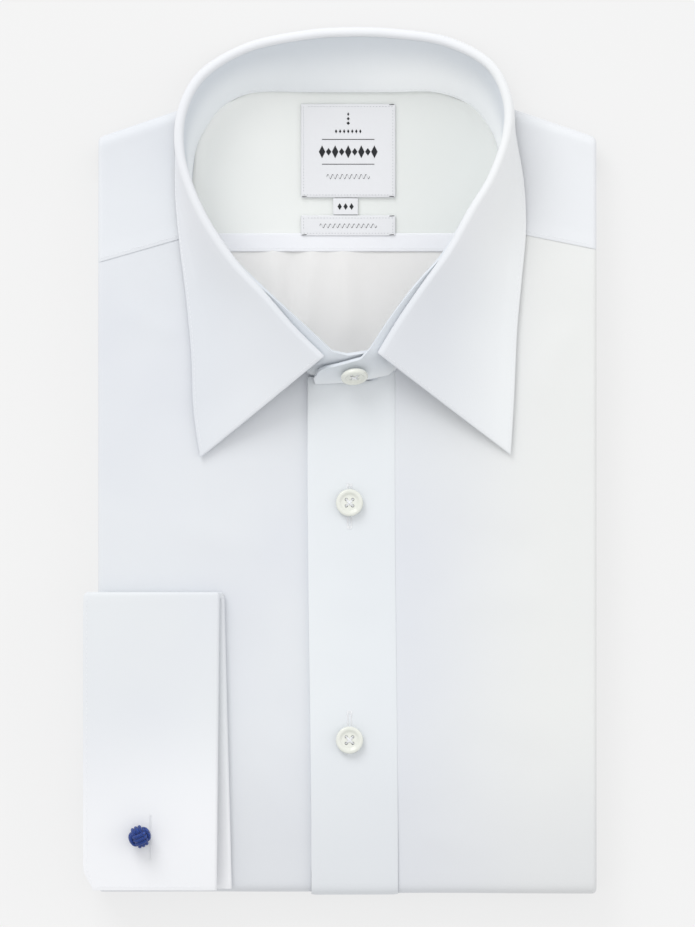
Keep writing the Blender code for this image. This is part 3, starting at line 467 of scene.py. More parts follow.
# Painted light: the back set whiter than the outer cloth to make up for the shade deep in the neck.
BACK_POPLIN = WovenPoplin("poplin_back_painted_light", "#e9e8e7", "#e4e3e2", sheen=0.08)
DOUBLED_POPLIN = WovenPoplin("poplin_white_doubled", "#edeef2", "#eaebef", sheen=0.08)
WHITE_THREAD = SpunThread("thread_white_spun", "#f3f4f6", "#eaecef")
GREY_THREAD = SpunThread("thread_grey_spun", "#a9acb1", "#c4c6ca")
DARK_THREAD = SpunThread("thread_black_spun", "#131417", "#2c2e32")
NAVY_SILK = SpunThread("silk_navy_braided", "#1b4396", "#0b1f58", twist_mm=0.5, roughness=0.5)
LABEL_SATIN = SatinLabel("satin_label_woven")
BUTTON_RESIN = CastResin("resin_cream_polished")
TABLE = LightTable("acrylic_opal_lit")

_built: dict[str, bpy.types.Material] = {}


def material_of(finish: Finish) -> bpy.types.Material:
    """The finish's material, made once."""
    if finish.name not in _built:
        _built[finish.name] = finish.build()
    return _built[finish.name]


# ---------------------------------------------------------------- cloth, stitches and how they are dressed


class Slot(Enum):
    """The material slots that the pieces are logged with."""

    POPLIN = "poplin"
    FUSED = "fused_poplin"
    INSIDE = "inside_cloth"
    LABEL = "label"
    BUTTON = "button_resin"
    CORD = "link_cord"


class Hold(Enum):
    """How a sheet of cloth is held."""

    FOLDED = "folded"
    LAID = "laid"


class Border(Enum):
    """One edge of a grid of cloth."""

    FIRST_ROW = "first row"
    LAST_ROW = "last row"
    FIRST_COLUMN = "first column"
    LAST_COLUMN = "last column"


class Station(NamedTuple):
    """A point on cloth, and the way that the cloth faces there."""

    point: Vector
    normal: Vector


@dataclass
class ClothGrid:
    """The outer face of a piece of cloth, as rows of points in millimetres."""

    rows: list[list[Vector]]

    def normal(self, row: int, column: int) -> Vector:
        """The way that the outer face looks at one point."""
        rows, line = self.rows, self.rows[row]
        across = line[min(column + 1, len(line) - 1)] - line[max(column - 1, 0)]
        along = rows[min(row + 1, len(rows) - 1)][column] - rows[max(row - 1, 0)][column]
        return across.cross(along).normalized()

    def moved(self, height: Callable[[int, int, Vector], float]) -> "ClothGrid":
        """The grid with each point moved along its normal.

        Args:
            height: A function of (row, column, point) that gives the distance in millimetres.

        Returns:
            A new grid.
        """
        return ClothGrid([
            [point + self.normal(j, i) * height(j, i, point) for i, point in enumerate(row)]
            for j, row in enumerate(self.rows)
        ])

    def inset(self, border: Border, distance: float) -> list[Station]:
        """Stations on the cloth all along one border, distance in from it."""
        rows, columns = range(len(self.rows)), range(len(self.rows[0]))
        if border in (Border.FIRST_ROW, Border.LAST_ROW):
            lines = [[(row, column) for row in rows] for column in columns]
        else:
            lines = [[(row, column) for column in columns] for row in rows]
        backwards = border in (Border.LAST_ROW, Border.LAST_COLUMN)
        return [self.walk(line[::-1] if backwards else line, distance) for line in lines]

    def walk(self, spots: list[tuple[int, int]], distance: float) -> Station:
        """The station that is distance along a line of grid points."""
        gone = 0.0
        for (j, i), (jj, ii) in zip(spots, spots[1:]):
            start, end = self.rows[j][i], self.rows[jj][ii]
            step = (end - start).length
            if gone + step >= distance and step > 0:
                return Station(start.lerp(end, (distance - gone) / step), self.normal(jj, ii))
            gone += step
        return Station(self.rows[spots[-1][0]][spots[-1][1]], self.normal(*spots[-1]))


def ways_of(line: Sequence[Vector]) -> list[float]:
    """How far along a line each of its points lies."""
    ways = [0.0]
    for start, end in zip(line, line[1:]):
        ways.append(ways[-1] + (end - start).length)
    return ways


def outward(line: Sequence[Vector], k: int) -> Vector:
    """The way square to a flat line at its point k, to the left of the line's run."""
    way = line[min(k + 1, len(line) - 1)] - line[max(k - 1, 0)]
    return Vector((-way.y, way.x)).normalized()


def add_mesh(name: str, bm: bmesh.types.BMesh, finish: Finish, sharp: float = 180.0) -> bpy.types.Object:
    """Makes an object of the mesh.

    Args:
        name: The object's name.
        bm: The mesh, freed here.
        finish: What it is made of.
        sharp: Edges that turn more than this many degrees stay sharp.

    Returns:
        The new object, linked to the scene.
    """
    mesh = bpy.data.meshes.new(name)
    bm.to_mesh(mesh)
    bm.free()
    mesh.shade_smooth()
    if sharp < 180.0:
        mesh.set_sharp_from_angle(angle=math.radians(sharp))
    mesh.materials.append(material_of(finish))
    obj = bpy.data.objects.new(name, mesh)
    bpy.context.scene.collection.objects.link(obj)
    return obj


def cloth_shell(
    name: str, grid: ClothGrid, wall: float, finish: WovenPoplin | SatinLabel, edge_round: float = EDGE_ROUND
) -> bpy.types.Object:
    """Makes a thin shell of cloth behind the grid, with softly rounded edges.

    Args:
        name: The object's name.
        grid: The cloth's outer face.
        wall: Thickness in millimetres.
        finish: What it is made of.
        edge_round: Share of the wall that its edges are rounded by.

    Returns:
        The object, with its threads' map in millimetres.
    """
    bm = bmesh.new()
    layer = bm.loops.layers.uv.new(CLOTH_MAP)
    middle_row = grid.rows[len(grid.rows) // 2]
    middle_column = [row[len(row) // 2] for row in grid.rows]
    across, along = ways_of(middle_row), ways_of(middle_column)
    made = [[bm.verts.new(point * METRES) for point in row] for row in grid.rows]
    for j in range(len(made) - 1):
        for i in range(len(made[j]) - 1):
            spots = ((j, i), (j, i + 1), (j + 1, i + 1), (j + 1, i))
            face = bm.faces.new([made[row][column] for row, column in spots])
            for loop, (row, column) in zip(face.loops, spots):
                loop[layer].uv = (across[column], along[row])
    obj = add_mesh(name, bm, finish)
    solidify = obj.modifiers.new("wall", "SOLIDIFY")
    solidify.thickness = wall * METRES
    solidify.offset = -1
    bevel = obj.modifiers.new("soft_edges", "BEVEL")
    bevel.width = edge_round * wall * METRES
    bevel.segments = 2
    bevel.limit_method = "ANGLE"
    bevel.angle_limit = math.radians(60)
    return obj


def dress(obj: bpy.types.Object, slot: Slot, *nodes: str) -> bpy.types.Object:
    """Sets the piece on its body, hides the nodes that it stands for and logs them with its slot."""
    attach(obj, BODY)
    if nodes:
        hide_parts(*nodes)
    log.info("made %s (%s)%s", obj.name, slot.value, " for " + ", ".join(nodes) if nodes else "")
    return obj


def make_cloth(
    name: str,
    grid: ClothGrid,
    wall: float,
    finish: WovenPoplin | SatinLabel,
    slot: Slot,
    *nodes: str,
    hold: Hold = Hold.FOLDED,
    rests_on: Sequence[str] = (),
    edge_round: float = EDGE_ROUND,
) -> None:
    """Makes a piece of cloth and sets it on its body.

    The arguments are those of cloth_shell and dress. hold and rests_on are not used.
    """
    piece = dress(cloth_shell(name, grid, wall, finish, edge_round), slot, *nodes)


def spaced(stations: Sequence[Station], pitch: float) -> list[Station]:
    """Stations an even pitch apart along a line of them."""
    found, gone, due = [], 0.0, 0.0
    for start, end in zip(stations, stations[1:]):
        step = (end.point - start.point).length
        while step > 0 and gone + step >= due:
            share = (due - gone) / step
            found.append(Station(start.point.lerp(end.point, share), start.normal.lerp(end.normal, share)))
            due += pitch
        gone += step
    return found


class Needlework:
    """Stitches of one thread, gathered into one mesh."""

    SIDES = 5

    def __init__(self, name: str, finish: SpunThread, radius: float = 0.09) -> None:
        """Starts an empty piece of needlework.

        Args:
            name: The object's name.
            finish: Its thread.
            radius: The thread's radius in millimetres.
        """
        self.name = name
        self.finish = finish
        self.radius = radius
        self.bm = bmesh.new()

    def stitch(self, start: Vector, end: Vector, normal: Vector) -> None:
        """Lays one stitch that comes up at start, bows over the cloth and goes down at end."""
        along = (end - start).normalized()
        side = along.cross(normal).normalized()
        rings = []
        for share, rise, size in ((0.14, 0.35, 0.85), (0.5, 0.75, 1.0), (0.86, 0.35, 0.85)):
            middle = start.lerp(end, share) + normal * self.radius * rise
            ring = []
            for k in range(self.SIDES):
                turn = math.tau * k / self.SIDES
                way = side * math.cos(turn) + normal * math.sin(turn)
                ring.append(self.bm.verts.new((middle + way * self.radius * size) * METRES))
            rings.append(ring)
        first = self.bm.verts.new((start - normal * self.radius * 0.6) * METRES)
        last = self.bm.verts.new((end - normal * self.radius * 0.6) * METRES)
        for k in range(self.SIDES):
            after = (k + 1) % self.SIDES
            self.bm.faces.new((first, rings[0][k], rings[0][after]))
            for low, high in zip(rings, rings[1:]):
                self.bm.faces.new((low[k], high[k], high[after], low[after]))
            self.bm.faces.new((last, rings[-1][after], rings[-1][k]))

    def seam(self, stations: Sequence[Station], pitch: float = 2.0, share: float = 0.78) -> None:
        """Sews a row of stitches along the stations, each over share of the pitch."""
        even = spaced(stations, pitch)
        for station, after in zip(even, even[1:]):
            self.stitch(station.point, station.point.lerp(after.point, share), station.normal.normalized())

    def satin(self, start: Vector, end: Vector, normal: Vector, width: float, pitch: float = 0.3) -> None:
        """Sews close stitches, each width long, across the line from start to end."""
        run = end - start
        side = run.normalized().cross(normal) * (width / 2)
        for share in steps(0.0, 1.0, max(2, round(run.length / pitch))):
            middle = start + run * share
            self.stitch(middle - side, middle + side, normal)

    def make(self, slot: Slot) -> None:
        """Turns the stitches to one dressed piece."""
        bmesh.ops.recalc_face_normals(self.bm, faces=self.bm.faces)
        dress(add_mesh(self.name, self.bm, self.finish), slot)


# ---------------------------------------------------------------- the form that the body's pieces share


@dataclass(frozen=True)
class Crease:
    """A soft ridge (height over 0) or trough in pressed cloth, dying out at both ends."""

    start: tuple[float, float]
    end: tuple[float, float]
    height: float
    width: float
    bow: float = 0.0

    def lift(self, x: float, y: float) -> float:
        """How far the crease moves the cloth at a point."""
        run_x, run_y = self.end[0] - self.start[0], self.end[1] - self.start[1]
        length = math.hypot(run_x, run_y)
        from_x, from_y = x - self.start[0], y - self.start[1]
        share = (from_x * run_x + from_y * run_y) / length**2
        if not 0.0 < share < 1.0:
            return 0.0
        off = (from_x * run_y - from_y * run_x) / length - self.bow * 4 * share * (1 - share)
        ends = smooth(0.0, 0.3, share) * (1 - smooth(0.7, 1.0, share))
        return self.height * ends * math.exp(-((off / self.width) ** 2) / 2)


# Soft wrinkles left after pressing, in the fronts' own plan.
FRONT_CREASES = tuple(
    Crease(*row)
    for row in (
        ((-96.0, 70.0), (-62.0, 52.0), 0.5, 4.0, 3.0),
        ((-90.0, 20.0), (-30.0, 8.0), -0.35, 6.0, -4.0),
        ((-80.0, -22.0), (-22.0, -34.0), 0.35, 5.0, 5.0),
        ((-38.0, -60.0), (-20.0, -120.0), -0.4, 5.0, 3.0),
        ((-40.0, -120.0), (-16.0, -168.0), 0.35, 4.5, -3.0),
        ((100.0, 62.0), (84.0, 20.0), 0.45, 4.5, 3.0),
        ((34.0, -20.0), (92.0, -38.0), -0.4, 6.0, 5.0),
        ((30.0, -66.0), (98.0, -60.0), 0.35, 6.0, -6.0),
        ((40.0, -110.0), (100.0, -128.0), -0.4, 7.0, 5.0),
        ((28.0, -150.0), (70.0, -166.0), 0.4, 5.0, 4.0),
        ((-10.0, -50.0), (20.0, -62.0), 0.2, 5.0, 2.0),
    )
)
# The same underneath, where the tail is folded up: they only rise off the table.
TAIL_CREASES = tuple(
    Crease(*row)
    for row in (
        ((-88.0, -140.0), (-30.0, -118.0), 0.7, 5.0, 4.0),
        ((-70.0, -60.0), (-10.0, -82.0), 0.6, 6.0, -5.0),
        ((-84.0, 20.0), (-24.0, 44.0), 0.8, 6.0, 6.0),
        ((30.0, -130.0), (96.0, -150.0), 0.6, 5.0, 4.0),
        ((34.0, -30.0), (90.0, -52.0), 0.8, 7.0, -6.0),
        ((28.0, 60.0), (92.0, 78.0), 0.6, 6.0, 5.0),
    )
)


@dataclass(frozen=True)
class FoldedForm:
    """The folded shirt's form: a flat stack, round at the bottom fold, the side folds and the shoulders."""

    right_x: float = -101.6
    left_x: float = 107.8
    centre_x: float = 4.0  # the line of the buttons
    height: float = 17.0
    fold_axis_y: float = -172.5
    fold_squareness: float = 0.42  # 1 is round, less is fuller at its corners
    tail_end_y: float = 118.0
    edge_radius: float = 1.9
    edge_turn: float = 8.0  # cloth turned under at the side edges
    edge_margin: float = 3.2  # from a side edge in to where the cloth's even columns end
    shoulder_radius: float = 4.7
    shoulder_edge_y: float = 136.1
    shoulder_slope: float = 0.342
    shoulder_drop: float = 4.5
    back_neck_y: float = 153.5
    swell: float = 2.0  # how far the fronts rise round the collar
    swell_y: float = 45.0
    swell_wide: float = 45.0
    swell_long: float = 28.0
    drop_from_y: float = 70.0
    drop_to_y: float = 140.0
    placket_wall: float = 2.0
    left_step: float = 1.97  # left front over right, at the placket seam
    fold_step: float = 1.3  # the same at the bottom fold

    @property
    def fold_radius(self) -> float:
        """Radius of the bottom fold."""
        return self.height / 2

    @property
    def fold_start(self) -> float:
        """Way down the cloth from y = 0 to where the bottom fold starts."""
        return -self.fold_axis_y

    @property
    def fold_end(self) -> float:
        """Way down the cloth to where the bottom fold meets the table."""
        return self.fold_start + math.pi * self.fold_radius

    @property
    def placket_step(self) -> float:
        """The placket's face above the right front's."""
        return CLEAR + self.placket_wall

    def front_z(self, x: float, y: float) -> float:
        """Height of the right front's face as pressed, without its wrinkles."""
        across, along = (x - self.centre_x) / self.swell_wide, (y - self.swell_y) / self.swell_long
        swell = self.swell * math.exp(-(across * across + along * along) / 2)
        return self.height + swell - self.shoulder_drop * smooth(self.drop_from_y, self.drop_to_y, y)

    def wrinkle(self, x: float, y: float) -> float:
        """How far the top cloth rises over its pressed form, or sinks."""
        lift = sum(crease.lift(x, y) for crease in FRONT_CREASES)
        lift += 0.3 * waver(x, y, 55.0, 3.7) + 0.12 * waver(x, y, 18.0, 8.1)
        fade = 1 - smooth(self.fold_start - 16.0, self.fold_start, -y)
        fade *= 1 - 0.8 * smooth(self.shoulder_edge_y - 30.0, self.shoulder_edge_y, y)
        under_cuff = (1 - smooth(-46.0, -38.0, x)) * (1 - smooth(-54.0, -47.0, y))
        return mix(lift, min(lift, 0.0) - 0.1, under_cuff) * fade

    def top_z(self, x: float, y: float) -> float:
        """Height of the right front's face, wrinkles and all."""
        return self.front_z(x, y) + self.wrinkle(x, y)

    def on_body(self, x: float, down: float, out: float) -> Vector:
        """The point at x and down the cloth from y = 0, standing out from the right front's face.

        Args:
            x: Place across the shirt.
            down: Way down the cloth, over the top, round the bottom fold and back underneath.
            out: Distance out from the right front's face.

        Returns:
            The point in millimetres.
        """
        if down < self.fold_start:
            return Vector((x, -down, self.top_z(x, -down) + out))
        turn = (down - self.fold_start) / self.fold_radius
        if turn < math.pi:
            radius = self.fold_radius + out
            soft = 0.25 * waver(x, turn * 20.0, 40.0, 5.5) * math.sin(turn)
            ring_y = self.fold_axis_y - (radius + soft) * math.sin(turn) ** self.fold_squareness
            side = math.copysign(abs(math.cos(turn)) ** self.fold_squareness, math.cos(turn))
            return Vector((x, ring_y, self.fold_radius + radius * side))
        y = self.fold_axis_y + down - self.fold_end
        rise = sum(crease.lift(x, y) for crease in TAIL_CREASES) * smooth(0.0, 12.0, down - self.fold_end)
        return Vector((x, y, -out + rise))

    def ways_down(self, top_y: float) -> list[float]:
        """Ways down the cloth from top_y to the end of the folded-up tail, as many for each column."""
        tail = self.fold_end - self.fold_axis_y + self.tail_end_y
        on_top = steps(-top_y, self.fold_start, 104)
        round_fold = steps(self.fold_start, self.fold_end, 24)[1:]
        return on_top + round_fold + steps(self.fold_end, tail, 60)[1:]

    def round_edge(self, edge_x: float, side: int) -> list[tuple[float, float]]:
        """(x, out) columns round a folded side edge and back under it, at the right (-1) or left (1)."""
        middle = edge_x - side * self.edge_radius
        arc = [
            (middle + side * self.edge_radius * math.cos(turn), self.edge_radius * (math.sin(turn) - 1))
            for turn in steps(math.pi / 2, -math.pi / 2, 12)
        ]
        under = [middle - side * self.edge_turn * share for share in (0.3, 0.65, 1.0)]
        return arc + [(x, -2 * self.edge_radius) for x in under]

    def under_share(self, down: float) -> float:
        """0 on top of the shirt, 1 where the cloth has turned under it."""
        return smooth(self.fold_start, self.fold_end, down)

    def shoulder_y(self, x: float) -> float:
        """The folded shoulder line, and the back of the neck between its two slopes."""
        inward = min(x - self.right_x, self.left_x - x)
        return min(self.back_neck_y, self.shoulder_edge_y + self.shoulder_slope * inward)

    def placket_edges(self, down: float) -> tuple[float, float]:
        """The two long edges of the placket, a little askew as the shirt lies."""
        low = smooth(0.0, self.fold_start, down)
        return -13.65 + 1.6 * low, 23.1 + 1.3 * low

    def left_out(self, x: float, down: float) -> float:
        """How far the left front stands out from the right front's face."""
        on_top = self.left_step * (1 - smooth(24.0, 62.0, x))
        at_fold = mix(on_top, self.fold_step, smooth(120.0, self.fold_start + self.fold_radius, down))
        return at_fold * (1 - self.under_share(down))

    def placket_top(self, x: float, y: float) -> float:
        """Height of the placket's face."""
        return self.top_z(x, y) + self.placket_step


FORM = FoldedForm()
YOKE_SEAM_RIGHT = ((-101.6, 84.4), (-69.3, 93.7))
YOKE_SEAM_LEFT = ((107.9, 89.9), (78.5, 95.8))
NECK_WIDEST_Y = 114.0  # where the neck seam turns from the fronts to the back
INNER_SEAM_Y = 89.0


class CollarRow(NamedTuple):
    """One section through the collar: seam to the neckline, fold at the top, free edge of the leaf."""

    seam_x: float
    seam_y: float
    fold_x: float
    fold_y: float
    fold_z: float
    edge_x: float
    edge_y: float
    edge_z: float  # above the cloth below it, or above the table where hangs is 1
    hangs: float
    lip: float  # how far the band's top leans in past the fold


# From the right front point, round the back of the neck, to the left front point.
COLLAR = tuple(
    CollarRow(*row)
    for row in (
        (-12.0, 37.2, -6.3, 44.0, 38.5, -58.8, 1.3, 2.1, 0, 4.0),
        (-24.5, 48.5, -18.5, 56.0, 39.5, -61.6, 21.0, 2.1, 0, 3.5),
        (-37.0, 62.5, -31.5, 71.0, 40.0, -62.6, 45.0, 2.1, 0, 1.2),
        (-48.5, 77.5, -43.5, 84.5, 40.0, -64.8, 68.5, 2.1, 0, 0),
        (-57.0, 92.5, -54.0, 100.0, 40.0, -67.6, 91.0, 2.1, 0, 0),
        (-61.8, 111.0, -61.3, 115.5, 40.0, -69.4, 113.0, 2.1, 0, 0),
        (-61.2, 128.0, -65.3, 131.0, 39.6, -69.0, 131.0, 2.3, 0, 0),
        (-57.2, 138.6, -64.0, 146.5, 39.2, -67.8, 147.2, 2.6, 0, 0),
        (-48.8, 149.2, -56.0, 160.5, 38.8, -59.8, 163.7, 6.0, 1, 0),
        (-36.0, 154.8, -38.0, 171.4, 38.3, -40.0, 175.6, 2.4, 1, 0),
        (-14.0, 155.0, -14.0, 176.5, 38.0, -14.5, 181.0, 2.0, 1, 0),
        (3.5, 155.0, 4.0, 177.7, 38.0, 4.0, 182.3, 2.0, 1, 0),
        (22.0, 155.0, 22.0, 177.1, 38.0, 22.5, 181.6, 2.0, 1, 0),
        (40.0, 155.0, 43.0, 174.0, 38.3, 45.5, 178.5, 2.4, 1, 0),
        (54.0, 150.0, 60.5, 165.2, 38.8, 64.0, 168.4, 6.0, 1, 0),
        (61.5, 142.0, 68.0, 151.5, 39.2, 72.3, 152.2, 2.6, 0, 0),
        (66.2, 132.0, 68.0, 137.0, 39.6, 74.0, 137.5, 2.3, 0, 0),
        (67.3, 117.0, 62.0, 119.5, 40.0, 77.4, 117.5, 2.1, 0, 0),
        (63.5, 99.0, 53.3, 105.0, 40.0, 78.3, 98.0, 2.1, 0, 0),
        (55.5, 80.5, 44.0, 88.0, 40.0, 76.5, 77.0, 2.1, 0, 0.6),
        (43.5, 63.0, 33.0, 72.5, 40.0, 74.5, 55.0, 2.1, 0, 2.4),
        (32.0, 48.5, 23.5, 58.5, 39.5, 73.3, 28.0, 2.1, 0, 3.2),
        (20.0, 37.2, 15.5, 45.3, 38.5, 71.8, 2.5, 2.1, 0, 3.8),
    )
)


class Neckline:
    """The seam round the neck, that the fronts, the yoke, the back and the collar meet at."""

    def __init__(self, rows: Sequence[CollarRow]) -> None:
        """Reads the seam from the collar's sections."""
        self.seam = [(row.seam_x, row.seam_y) for row in through(rows, 6)]
        self.front = sorted(point for point in self.seam if point[1] < NECK_WIDEST_Y)
        back = [point for point in self.seam if point[1] > NECK_WIDEST_Y]
        self.back = {
            side: sorted(point for point in back if (point[0] - FORM.centre_x) * side > 0) for side in (-1, 1)
        }

    def front_y(self, x: float) -> float:
        """The front neckline at x."""
        return y_at(self.front, x) or NECK_WIDEST_Y

    def back_y(self, x: float, side: int) -> float:
        """The collar seam behind one shoulder at x. side is -1 on the right, 1 on the left."""
        return y_at(self.back[side], x) or NECK_WIDEST_Y

    def span(self, y: float) -> tuple[float, float]:
        """The two x of the seam at y."""
        found = []
        for start, end in zip(self.seam, self.seam[1:]):
            low, high = sorted((start[1], end[1]))
            if low <= y < high:
                found.append(mix(start[0], end[0], (y - start[1]) / (end[1] - start[1])))
        return min(found), max(found)


NECK = Neckline(COLLAR)


# ---------------------------------------------------------------- body


@dataclass
class Fronts:
    """The two fronts and the placket, down over the bottom fold to the folded-up tail."""

    wall: float = 0.7
    underlap_x: float = 16.0  # inner edge of the right front, under the placket
    press: float = 0.25  # how far the placket's edges are pressed down
    seam_gap: float = 0.012  # between a front and the placket where they meet
    seam_round: float = 0.05  # of their walls, hardly any, or the seam would be a groove

    def build(self) -> None:
        """Makes the three pieces."""
        make_cloth("right_front", self.right_grid(), self.wall, POPLIN, Slot.POPLIN, "front_right")
        left, placket, seam = self.left_grid(), self.placket_grid(), self.seam_round
        make_cloth("left_front", left, self.wall, POPLIN, Slot.POPLIN, "front_left", edge_round=seam)
        look = FORM.placket_wall, PLACKET_POPLIN, Slot.FUSED
        make_cloth("front_placket", placket, *look, "placket", rests_on=["right_front"], edge_round=seam)

    def right_grid(self) -> ClothGrid:
        """The right front, drawn back beside the placket at the bottom fold, so that both lie flush below."""
        straight = steps(self.underlap_x, FORM.right_x + FORM.edge_margin, 48)
        edge = FORM.round_edge(FORM.right_x, -1)
        ways = [FORM.ways_down(self.top_y(YOKE_SEAM_RIGHT, x)) for x in straight]
        edge_ways = FORM.ways_down(self.top_y(YOKE_SEAM_RIGHT, FORM.right_x))
        rows = []
        for k in range(len(edge_ways)):
            row = []
            for x, way in zip(straight, ways):
                drawn_back = smooth(FORM.fold_start - 30.0, FORM.fold_start - 1.0, way[k])
                beside = FORM.placket_edges(way[k])[0] - self.seam_gap - 0.02 * (self.underlap_x - x)
                row.append(FORM.on_body(mix(x, min(x, beside), drawn_back), way[k], 0.0))
            row += [FORM.on_body(x, edge_ways[k], out) for x, out in edge]
            rows.append(row)
        return ClothGrid(rows)

    def top_y(self, yoke_seam: Sequence[Sequence[float]], x: float) -> float:
        """Upper edge of a front at x, below its yoke seam and the neckline."""
        return min(line_y(yoke_seam, x) - CLEAR / 2, NECK.front_y(x))

    def left_grid(self) -> ClothGrid:
        """The left front, from the placket's seam round the other side edge."""
        seam_x = FORM.placket_edges(0.0)[1] + self.seam_gap
        straight = steps(0.0, FORM.left_x - FORM.edge_margin - seam_x, 36)
        edge = FORM.round_edge(FORM.left_x, 1)
        edge_ways = FORM.ways_down(self.top_y(YOKE_SEAM_LEFT, FORM.left_x))
        ways = [FORM.ways_down(self.top_y(YOKE_SEAM_LEFT, seam_x + x)) for x in straight]
        rows = []
        for k in range(len(edge_ways)):
            start = FORM.placket_edges(ways[0][k])[1] + self.seam_gap
            row = []
            for x, way in zip(straight, ways):
                shown_x = start + x * (FORM.left_x - start) / (FORM.left_x - seam_x)
                row.append(FORM.on_body(shown_x, way[k], FORM.left_out(shown_x, way[k])))
            row += [FORM.on_body(x, edge_ways[k], FORM.left_out(x, edge_ways[k]) + out) for x, out in edge]
            rows.append(row[::-1])
        return ClothGrid(rows)

    def placket_grid(self) -> ClothGrid:
        """The placket strip, on the right front on top and flush with it underneath."""
        shares = [0.0, 0.02, 0.05] + steps(0.08, 0.92, 16) + [0.95, 0.98, 1.0]
        ways = [FORM.ways_down(self.placket_top_y(share)) for share in shares]
        rows = []
        for k in range(len(ways[0])):
            row = []
            for share, way in zip(shares, ways):
                x = mix(*FORM.placket_edges(way[k]), share)
                sink = self.press * (1 - smooth(0.0, 0.05, min(share, 1 - share)))
                out = mix(FORM.placket_step, 0.0, FORM.under_share(way[k])) - sink
                row.append(FORM.on_body(x, way[k], out))
            rows.append(row[::-1])
        return ClothGrid(rows)

    def placket_top_y(self, share: float) -> float:
        """Where the placket ends under the neckband, at a share of its width."""
        return 33.6 + 1.8 * (1 - smooth(0.04, 0.2, share)) + 4.4 * smooth(0.72, 1.0, share)


@dataclass
class Yoke:
    """The yoke over both shoulders, lapped over the fronts at its forward seams."""

    wall: float = 0.3
    lap: float = 0.36  # how far its folded seam edge stands up
    lap_length: float = 7.0
    overlap: float = 0.9  # over the fronts' upper edges
    stitch_inset: float = 1.5

    def build(self) -> None:
        """Makes the two shoulders with their edge stitches."""
        sewing = Needlework("yoke_stitches", WHITE_THREAD)
        for name, side, node in (("right_shoulder", -1, "yoke_right"), ("left_shoulder", 1, "yoke_left")):
            make_cloth(name, self.shoulder_grid(side), self.wall, YOKE_POPLIN, Slot.POPLIN, node)
            sewing.seam(self.seam_stations(side))
        sewing.make(Slot.POPLIN)

    def bottom_y(self, x: float, side: int) -> float:
        """The yoke's forward seam at x."""
        seam = YOKE_SEAM_RIGHT if side < 0 else YOKE_SEAM_LEFT
        return line_y(seam, x) - self.overlap

    def lift(self, x: float, y: float, side: int) -> float:
        """The folded seam edge's rise above the front's own form."""
        return self.lap * (1 - smooth(0.0, self.lap_length, y - self.bottom_y(x, side)))

    def shoulder_grid(self, side: int) -> ClothGrid:
        """One shoulder, from its forward seam over the shoulder line and back under it."""
        edge_x = FORM.right_x if side < 0 else FORM.left_x
        neck = steps(51.0, 39.2, 8)
        cloth = steps(38.8, FORM.edge_margin, 18)
        columns = [(edge_x - side * inward, 0.0) for inward in neck + cloth] + FORM.round_edge(edge_x, side)
        lines = []
        for x, out in columns:
            bottom = self.bottom_y(x, side)
            if abs(x - edge_x) > cloth[0]:
                bottom = NECK.back_y(x, side)
            lines.append(self.over_shoulder(x, bottom, out, side))
        rows = [list(row) for row in zip(*lines)]
        if side > 0:
            rows = [row[::-1] for row in rows]
        return ClothGrid(rows[::-1])

    def over_shoulder(self, x: float, bottom_y: float, out: float, side: int) -> list[Vector]:
        """Points from bottom_y up to the shoulder line, round it and back underneath."""
        axis_y = FORM.shoulder_y(x) - FORM.shoulder_radius
        axis_z = FORM.front_z(x, axis_y) - FORM.shoulder_radius
        flat = [
            Vector((x, y, FORM.top_z(x, y) + out + self.lift(x, y, side) * (1 - smooth(0.0, 1.9, -out))))
            for y in steps(min(bottom_y, axis_y - 0.5), axis_y, 26)
        ]
        radius = FORM.shoulder_radius + out
        arc = [
            Vector((x, axis_y + radius * math.sin(turn), axis_z + radius * math.cos(turn)))
            for turn in steps(0.0, math.pi, 16)[1:]
        ]
        return flat + arc

    def seam_stations(self, side: int) -> list[Station]:
        """The line of the edge stitches along one forward seam, as far as it shows."""
        near, far = (FORM.right_x + 1.0, -66.0) if side < 0 else (76.0, FORM.left_x - 1.0)
        found = []
        for x in steps(near, far, 20):
            y = self.bottom_y(x, side) + self.stitch_inset
            found.append(Station(Vector((x, y, FORM.top_z(x, y) + self.lift(x, y, side))), UP))
        return found


